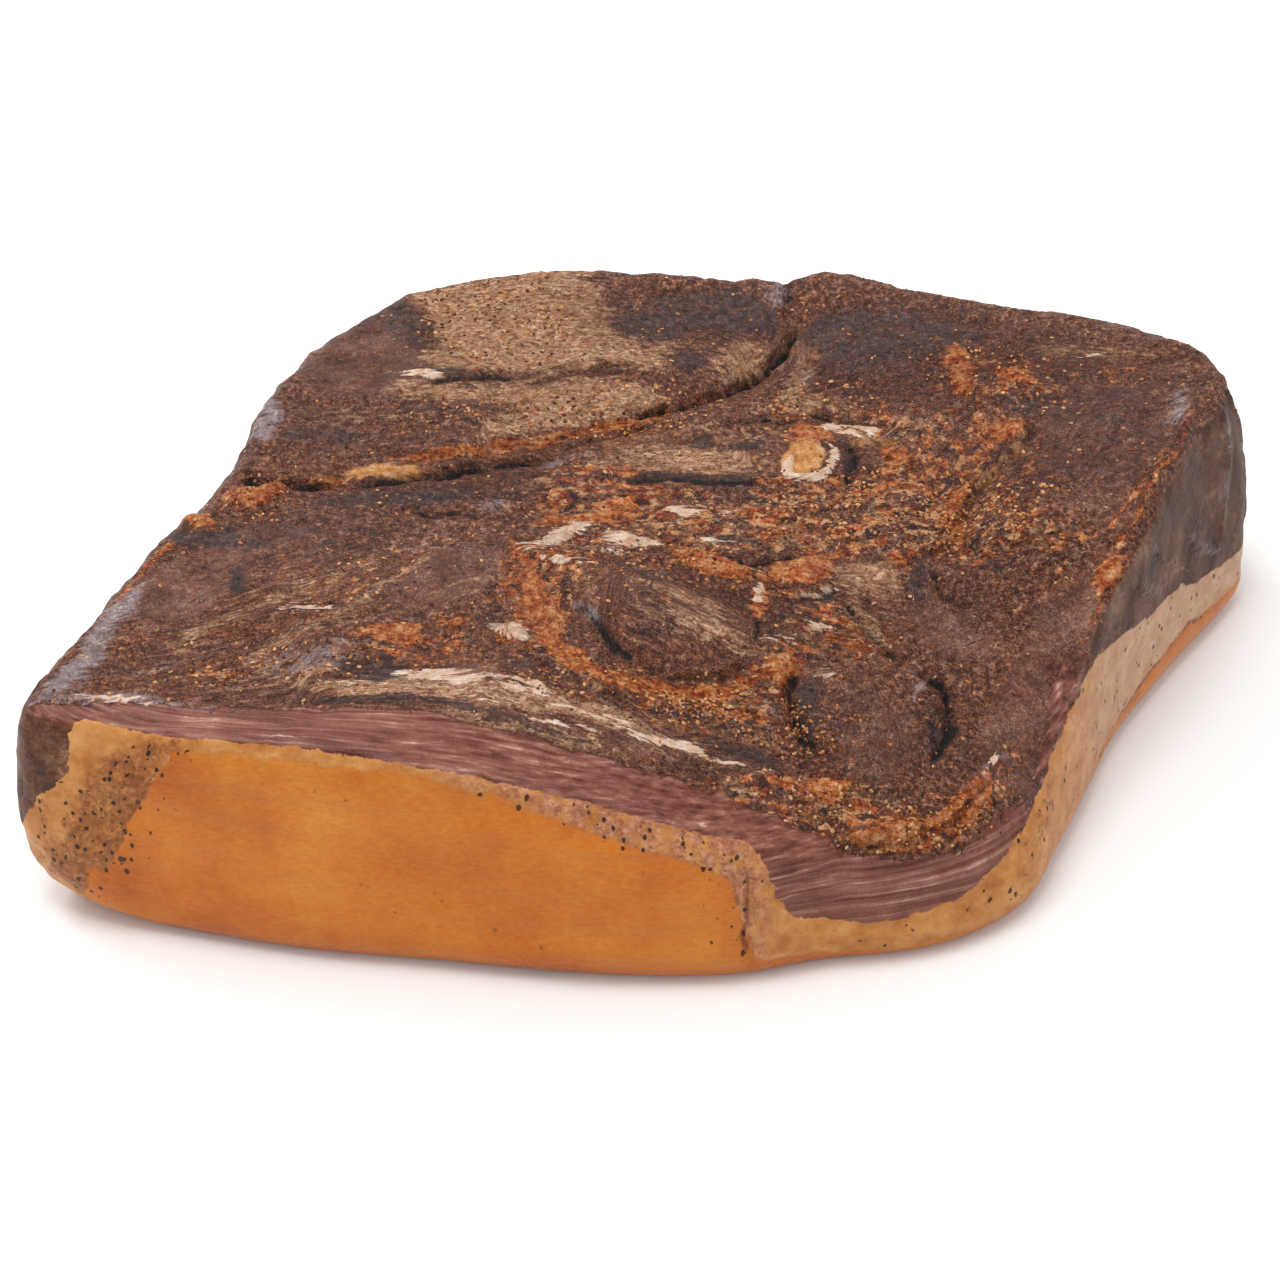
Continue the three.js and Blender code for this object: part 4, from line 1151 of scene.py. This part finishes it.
# %% Yellow and white fat, the striped crest, and plain lean on the side
yellow_fat = meat.ramp(fat_tone, (0.2, (156, 92, 46)), (0.5, (204, 142, 86)), (0.8, (234, 194, 148)))
yellow = meat.edge(meat.read("yellow"), ragged, 0.35, 0.2)
colour = meat.coat(colour, yellow, yellow_fat)
white_fat = meat.ramp(fat_tone, (0.2, (204, 150, 118)), (0.5, (230, 196, 170)), (0.8, (246, 230, 214)))
pale = meat.edge(meat.read("pale"), torn, 1.1, 0.12)
colour = meat.coat(colour, pale, white_fat, 0.94)
stripe = meat.noise(meat.read_place("beside", (90.0, 1.7, 1.9)), 4.0, 0.56)
crest_tone = meat.sum((stripe, 0.64), (patches, 0.26), (grit, 0.1))
crest_colour = meat.ramp(crest_tone, (0.16, (90, 50, 44)), (0.4, (116, 71, 62)), (0.6, (138, 90, 79)),
                         (0.76, (160, 115, 101)), (0.9, (206, 170, 152)))
crest = meat.edge(meat.read("crest"), ragged, 0.7)
colour = meat.coat(colour, crest, crest_colour, 0.95)
folds = meat.noise(meat.read_place("beside", (16.0, 34.0, 14.0)), 6.0, 0.66)
flank_tone = meat.sum((folds, 0.35), (grains, 0.25), (patches, 0.25), (grit, 0.15))
flank_colour = meat.ramp(flank_tone, (0.2, (46, 27, 20)), (0.42, (88, 57, 43)), (0.58, (116, 80, 61)),
                         (0.82, (168, 134, 110)))
flank = meat.edge(meat.read("flank"), ragged, 0.6)
# membranes on the side: silverskin with a painted sheen
flank_silverskin_and_sheen = meat.maths("MULTIPLY", silverskin_and_sheen, flank)
flank_colour = meat.coat(flank_colour, flank_silverskin_and_sheen, silverskin_and_sheen_colour, 0.45)
colour = meat.coat(colour, flank, flank_colour, 0.95)
print("nodes so far:", len(meat.tree.nodes))

# %% Painted shade in the seams
seam_wander = meat.maths("MULTIPLY", meat.maths("SUBTRACT", ragged, 0.5), 0.45)
seam_depth = meat.maths("ADD", meat.read("seam_painted_shade"), seam_wander)
seam_shade = meat.level(seam_depth, 0.2, 0.8, to=(1.0, 0.55))
colour = meat.times(colour, meat.grey(seam_shade))
seam_shade_share = meat.level(seam_depth, 0.62, 0.82)
seam_shade_colour = linear(36, 21, 17)
colour = meat.coat(colour, seam_shade_share, seam_shade_colour, 0.92)
print("nodes so far:", len(meat.tree.nodes))

# %% Fat on the side, and where its pores are
band_tone = meat.noise(meat.object_place(9.0), 5.0, 0.66)
side_fat = meat.ramp(band_tone, (0.0, (168, 104, 56)), (0.5, (194, 132, 76)), (1.0, (212, 156, 98)))
peach_fat = meat.ramp(band_tone, (0.0, (180, 132, 100)), (0.5, (196, 152, 120)), (1.0, (210, 174, 146)))
fat_colour = meat.mix(meat.read("peach"), side_fat, peach_fat)
spotted = meat.level(meat.sum((meat.read("speck"), 0.7), (blotch, 0.5), (grains, 0.3)), 0.78, 1.05)
spot_colour = meat.ramp(grains, (0.1, (92, 54, 36)), (0.5, (140, 86, 54)), (0.9, (186, 122, 76)))
fat_colour = meat.coat(fat_colour, spotted, spot_colour, 0.85)
pinkish = meat.ramp(grains, (0.1, (136, 84, 64)), (0.5, (176, 118, 90)), (0.9, (206, 152, 118)))
pink = meat.maths("MULTIPLY", meat.read("pink"), meat.level(ragged, 0.2, 0.6))
fat_colour = meat.coat(fat_colour, pink, pinkish)
pore_far, pore_pick, pore_tint = meat.cells(meat.read_place("beside", (2.2, 2.8, 5.0)))
pore_size = meat.maths("MULTIPLY", meat.maths("ADD", pore_tint, blotch), 0.3)
pore = meat.level(meat.sum((pore_size, 1.0), (pore_far, -1.0), (grains, 0.3), (1.0, -0.15)), 0.0, 0.1)
pore_share = meat.maths("MULTIPLY", meat.read("speck"), blotch)
chosen = meat.level(meat.maths("SUBTRACT", pore_share, pore_pick), -0.02, 0.02)
specks = meat.maths("MULTIPLY", pore, chosen)
print("nodes so far:", len(meat.tree.nodes))

# %% The rind, painted shade in its folds, and black pores over all
rind_tone = meat.noise(meat.object_place(34.0), 6.0, 0.6)
hair_tone = meat.noise(meat.read_place("beside", (2.6, 1.0, 4.0)), 3.0, 0.6)
cure_tone = meat.noise(meat.object_place(90.0), 3.0, 0.55)
rind_shade = meat.sum((rind_tone, 0.4), (cure_tone, 0.25), (hair_tone, 0.2), (grains, 0.15))
rind_colour = meat.ramp(rind_shade, (0.15, (182, 96, 36)), (0.4, (198, 114, 50)), (0.6, (206, 128, 58)),
                        (0.85, (216, 148, 72)))
deep_rind = meat.ramp(rind_shade, (0.15, (138, 64, 20)), (0.5, (170, 90, 33)), (0.85, (190, 110, 48)))
rind_colour = meat.coat(rind_colour, meat.read("deep"), deep_rind, 0.8)
rind = meat.edge(meat.read("rind"), ragged, 0.7, 0.3)
fat = meat.edge(meat.read("fat"), ragged, 0.6)
colour = meat.coat(colour, fat, fat_colour)
colour = meat.coat(colour, rind, rind_colour)
# painted shade: the rind's folds are darkened in the colour as their shadow would be
fold_shade_share = meat.edge(meat.read("fold"), grains, 0.6, 0.2)
fold_painted_shade = linear(104, 52, 28)
colour = meat.coat(colour, fold_shade_share, fold_painted_shade, 0.75)
pore_black = linear(40, 30, 28)
colour = meat.coat(colour, specks, pore_black, 0.9)
print("nodes so far:", len(meat.tree.nodes))

# %% Gloss
gloss = meat.blend(crest, meat.level(fibres, 0.2, 0.8, to=(0.34, 0.58)), 0.36)
gloss = meat.blend(smooth, gloss, meat.level(grains, 0.2, 0.8, to=(0.3, 0.5)))
gloss = meat.blend(mottle, gloss, 0.55)
gloss = meat.blend(crusted, gloss, 0.85)
gloss = meat.blend(orange, gloss, 0.4)
gloss = meat.blend(silverskin_and_sheen, gloss, 0.32)
gloss = meat.blend(fat, gloss, 0.46)
gloss = meat.blend(rind, gloss, meat.level(rind_tone, 0.2, 0.8, to=(0.26, 0.38)))
print("nodes so far:", len(meat.tree.nodes))

# %% Fine bump
BUMP_HEIGHT = 0.7  # mm
rise = meat.sum((fibres, 0.9), (ragged, 0.4), (blotch, 0.4), (flakes, 0.3), (fleck, 0.5), (grit, 0.4))
rise = meat.sum((rise, 1.0), (crease, -0.6), (meat.maths("MULTIPLY", mottle, morsel_tint), 0.5))
rise = meat.sum((rise, 1.0), (meat.maths("MULTIPLY", orange, fat_tone), 1.2))
rise = meat.blend(meat.maths("MULTIPLY", smooth, 0.55), rise, 0.9)
rise = meat.blend(crest, rise, meat.sum((stripe, 0.25), (grit, 0.12)))
rise = meat.blend(fat, rise, meat.maths("MULTIPLY", band_tone, 0.6))
rise = meat.blend(rind, rise, meat.maths("MULTIPLY", hair_tone, 0.1))
rise = meat.maths("SUBTRACT", rise, meat.maths("MULTIPLY", specks, 0.5))
bump = meat.add("ShaderNodeBump", {"Height": rise, "Strength": 1.0, "Distance": BUMP_HEIGHT * MM})
print("nodes so far:", len(meat.tree.nodes))

# %% Join the layers to the surface
SINK_IN = 1.6  # mm that red light travels inside the meat
meat.tree.links.new(colour, meat.shader.inputs["Base Color"])
meat.tree.links.new(gloss, meat.shader.inputs["Roughness"])
meat.tree.links.new(bump.outputs["Normal"], meat.shader.inputs["Normal"])
meat.shader.inputs["Specular IOR Level"].default_value = 0.26
meat.shader.inputs["Subsurface Weight"].default_value = 0.08
meat.shader.inputs["Subsurface Radius"].default_value = (1.0, 0.45, 0.25)
meat.shader.inputs["Subsurface Scale"].default_value = SINK_IN * MM
ham.data.materials.append(meat.material)
print("nodes in the material:", len(meat.tree.nodes))

# %% [markdown]
# ## Crumbs of spice and shreds of meat
# Pepper, salt and bits of dried meat cling to the cut top. They are thousands of small solids,
# so Geometry Nodes scatter them: points are strewn over the ham as densely as a map says, each
# point gets a rough grain that is turned and stretched at random with a fixed seed, and the
# instances are made real, because an export drops instances. Half of each grain is sunk in.

# %% Where crumbs cling
CRUMB_HEAPS = [  # middle on the plan, half length, half width, turn, strength
    ((6, -90), 40, 9, -6, 1.0), ((76, -122), 32, 8, 8, 1.0), ((-60, 110), 30, 26, 0, 0.45),
    ((60, 6), 46, 18, 4, 0.6), ((-30, 60), 50, 9, 8, 0.5), ((-120, -86), 40, 7, 8, 0.5),
    ((10, -24), 30, 10, -10, 0.5), ((120, 76), 26, 14, -30, 0.4), ((-100, -44), 30, 14, 34, 0.25),
    ((104, -2), 30, 16, 12, 0.5), ((46, 64), 26, 14, -10, 0.5), ((-140, 0), 14, 12, 0, 0.5),
]
STRAY_CRUMBS = 0.05  # how thickly crumbs lie outside the heaps
crumbs = STRAY_CRUMBS * on_top
for middle, half_long, half_wide, turn, strength in CRUMB_HEAPS:
    heap = np.clip(0.5 + spot(plan, middle, half_long, half_wide, turn) / 16.0, 0.0, 1.0)
    crumbs = np.maximum(crumbs, strength * heap * on_top)
crumbs *= soft_step(rough_noise(point, 9.0, 3, 83), -0.9, 0.5)
crumbs *= (1.0 - tissue["crest"]) * (1.0 - tissue["fat"]) * (1.0 - 0.75 * tissue["smooth"])
store(ham.data, "crumbs", crumbs)
print("heaps of crumbs:", len(CRUMB_HEAPS))

# %% Material of the crumbs
spice = Recipe("spice crumbs")
crumb_tone = spice.noise(spice.object_place(0.9), 2.0, 0.6)
crumb_tint = spice.sum((spice.read("tint"), 0.8), (crumb_tone, 0.2))
crumb_colour = spice.ramp(crumb_tint, (0.1, (66, 40, 30)), (0.3, (106, 62, 40)),
                          (0.5, (148, 90, 56)), (0.74, (184, 126, 80)), (0.95, (220, 174, 128)))
crumb_bump = spice.add("ShaderNodeBump", {"Height": crumb_tone, "Strength": 0.6, "Distance": 0.2 * MM})
crumb_gloss = spice.level(crumb_tone, 0.0, 1.0, to=(0.45, 0.75))
spice.tree.links.new(crumb_colour, spice.shader.inputs["Base Color"])
spice.tree.links.new(crumb_gloss, spice.shader.inputs["Roughness"])
spice.tree.links.new(crumb_bump.outputs["Normal"], spice.shader.inputs["Normal"])
spice.shader.inputs["Specular IOR Level"].default_value = 0.3
print("nodes in the crumbs' material:", len(spice.tree.nodes))

# %% The node group that scatters them
CRUMBS_PER_SQUARE_METRE = 6.0e5
SMALLEST_CRUMB = Vector((0.35, 0.25, 0.2)) * MM
LARGEST_CRUMB = Vector((1.15, 0.85, 0.5)) * MM
CRUMB_SEED = 7
CRUMB_FACES = 20  # of one grain, an icosahedron


def crumb_group(material):
    """Geometry Nodes that strew rough grains over a mesh, by its map called crumbs."""
    group = bpy.data.node_groups.new("scatter crumbs", "GeometryNodeTree")
    face = group.interface
    face.new_socket("Geometry", in_out="INPUT", socket_type="NodeSocketGeometry")
    face.new_socket("Crumbs per square metre", in_out="INPUT", socket_type="NodeSocketFloat")
    face.new_socket("Smallest", in_out="INPUT", socket_type="NodeSocketVector")
    face.new_socket("Largest", in_out="INPUT", socket_type="NodeSocketVector")
    face.new_socket("Geometry", in_out="OUTPUT", socket_type="NodeSocketGeometry")

    def add(kind, inputs=None, **settings):
        made = group.nodes.new(kind)
        for key, value in settings.items():
            setattr(made, key, value)
        for key, value in (inputs or {}).items():
            if isinstance(value, bpy.types.NodeSocket):
                group.links.new(value, made.inputs[key])
            else:
                made.inputs[key].default_value = value
        return made

    given = add("NodeGroupInput")
    share = add("GeometryNodeInputNamedAttribute", {"Name": "crumbs"}, data_type="FLOAT")
    density = add("ShaderNodeMath", {0: share.outputs["Attribute"], 1: given.outputs[1]},
                  operation="MULTIPLY")
    strewn = add("GeometryNodeDistributePointsOnFaces",
                 {"Mesh": given.outputs[0], "Density": density.outputs[0], "Seed": CRUMB_SEED})
    tint = add("FunctionNodeRandomValue", {"Seed": CRUMB_SEED + 1}, data_type="FLOAT")
    tinted = add("GeometryNodeStoreNamedAttribute",
                 {"Geometry": strewn.outputs["Points"], "Name": "tint", "Value": tint.outputs[1]},
                 data_type="FLOAT", domain="POINT")
    spin = add("FunctionNodeRandomValue", {2: 0.0, 3: 2 * math.pi, "Seed": CRUMB_SEED + 2},
               data_type="FLOAT")
    about = add("ShaderNodeCombineXYZ", {"Z": spin.outputs[1]})
    turned = add("FunctionNodeRotateRotation", {0: strewn.outputs["Rotation"], 1: about.outputs[0]},
                 rotation_space="LOCAL")
    size = add("FunctionNodeRandomValue",
               {0: given.outputs[2], 1: given.outputs[3], "Seed": CRUMB_SEED + 3},
               data_type="FLOAT_VECTOR")
    grain_shape = add("GeometryNodeMeshIcoSphere", {"Radius": 1.0, "Subdivisions": 1})
    placed = add("GeometryNodeInstanceOnPoints",
                 {"Points": tinted.outputs[0], "Instance": grain_shape.outputs[0],
                  "Rotation": turned.outputs[0], "Scale": size.outputs[0]})
    real = add("GeometryNodeRealizeInstances", {0: placed.outputs[0]})
    finished = add("GeometryNodeSetMaterial", {"Geometry": real.outputs[0], "Material": material})
    add("NodeGroupOutput", {0: finished.outputs[0]})
    return group


scatter = crumb_group(spice.material)
print("nodes in the group:", len(scatter.nodes))

# %% Scatter them, and keep the result as a plain mesh
spice_crumbs = bpy.data.objects.new("spice_crumbs", ham.data.copy())
bpy.context.scene.collection.objects.link(spice_crumbs)
scattering = spice_crumbs.modifiers.new("scatter", "NODES")
scattering.node_group = scatter
sockets = {item.name: item.identifier for item in scatter.interface.items_tree
           if item.in_out == "INPUT"}
scattering[sockets["Crumbs per square metre"]] = CRUMBS_PER_SQUARE_METRE
scattering[sockets["Smallest"]] = SMALLEST_CRUMB
scattering[sockets["Largest"]] = LARGEST_CRUMB
apply_modifiers(spice_crumbs)
faces = len(spice_crumbs.data.polygons)
print("crumbs:", faces // CRUMB_FACES, " faces:", faces)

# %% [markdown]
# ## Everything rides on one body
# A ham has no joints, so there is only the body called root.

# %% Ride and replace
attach(ham, "root")
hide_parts(HAM)
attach(spice_crumbs, "root")
print("the ham stands for", HAM)

# %% [markdown]
# ## Floor, light and camera
# The ham lies on a plain pale floor in soft studio light. A white world lights it from all
# sides, and a large softbox from behind on the left gives the sheen on the lean meat and the
# soft shadow on the right. The camera looks down at 38 degrees through a long lens.

# %% The floor and the white world
FLOOR_SIDE = 12.0  # m
FLOOR_DROP = 0.2  # mm that the floor lies under the ham, so that the two faces don't flicker
PAPER_WHITE = 0.9
AIR_LIGHT = 0.85
bpy.ops.mesh.primitive_plane_add(size=FLOOR_SIDE, location=(0.0, 0.0, -FLOOR_DROP * MM))
floor = bpy.context.object
floor.name = "studio_floor"
paper = Recipe("white paper")
paper.shader.inputs["Base Color"].default_value = (PAPER_WHITE, PAPER_WHITE, PAPER_WHITE, 1.0)
paper.shader.inputs["Roughness"].default_value = 0.9
floor.data.materials.append(paper.material)
air = bpy.data.worlds.new("studio air")
air.use_nodes = True
air.node_tree.nodes["Background"].inputs["Color"].default_value = (1.0, 1.0, 1.0, 1.0)
air.node_tree.nodes["Background"].inputs["Strength"].default_value = AIR_LIGHT
bpy.context.scene.world = air
bpy.context.scene.view_settings.view_transform = "Standard"
print("floor", FLOOR_SIDE, "m wide")

# %% Softboxes
HAM_MIDDLE = Vector((0.0, 0.0, 0.05))
SOFTBOX_SIDE = 0.9  # m


def softbox(name, place, power):
    """A square area light that faces the ham. place is in metres and power in watts."""
    light = bpy.data.lights.new(name, "AREA")
    light.size = SOFTBOX_SIDE
    light.energy = power
    lamp = bpy.data.objects.new(name, light)
    lamp.location = place
    lamp.rotation_euler = (HAM_MIDDLE - Vector(place)).to_track_quat("-Z", "Y").to_euler()
    bpy.context.scene.collection.objects.link(lamp)
    return lamp


softboxes = [
    softbox("softbox_back_left", (-1.1, 0.9, 1.4), 13.0),
    softbox("softbox_top", (-0.2, -0.3, 1.8), 16.0),
]
print("softboxes:", len(softboxes))

# %% Camera
AIM = Vector((-7.02, -21.59, 45.0)) * MM
LENS = 122.34  # mm
DISTANCE = 1.5  # m
LOOK_DOWN = math.radians(38.0)
camera = bpy.data.objects.new("camera", bpy.data.cameras.new("camera"))
camera.data.lens = LENS
camera.location = AIM + DISTANCE * Vector((0.0, -math.cos(LOOK_DOWN), math.sin(LOOK_DOWN)))
camera.rotation_euler = (math.pi / 2 - LOOK_DOWN, 0.0, 0.0)
bpy.context.scene.collection.objects.link(camera)
bpy.context.scene.camera = camera
print("camera at", [round(side, 3) for side in camera.location])
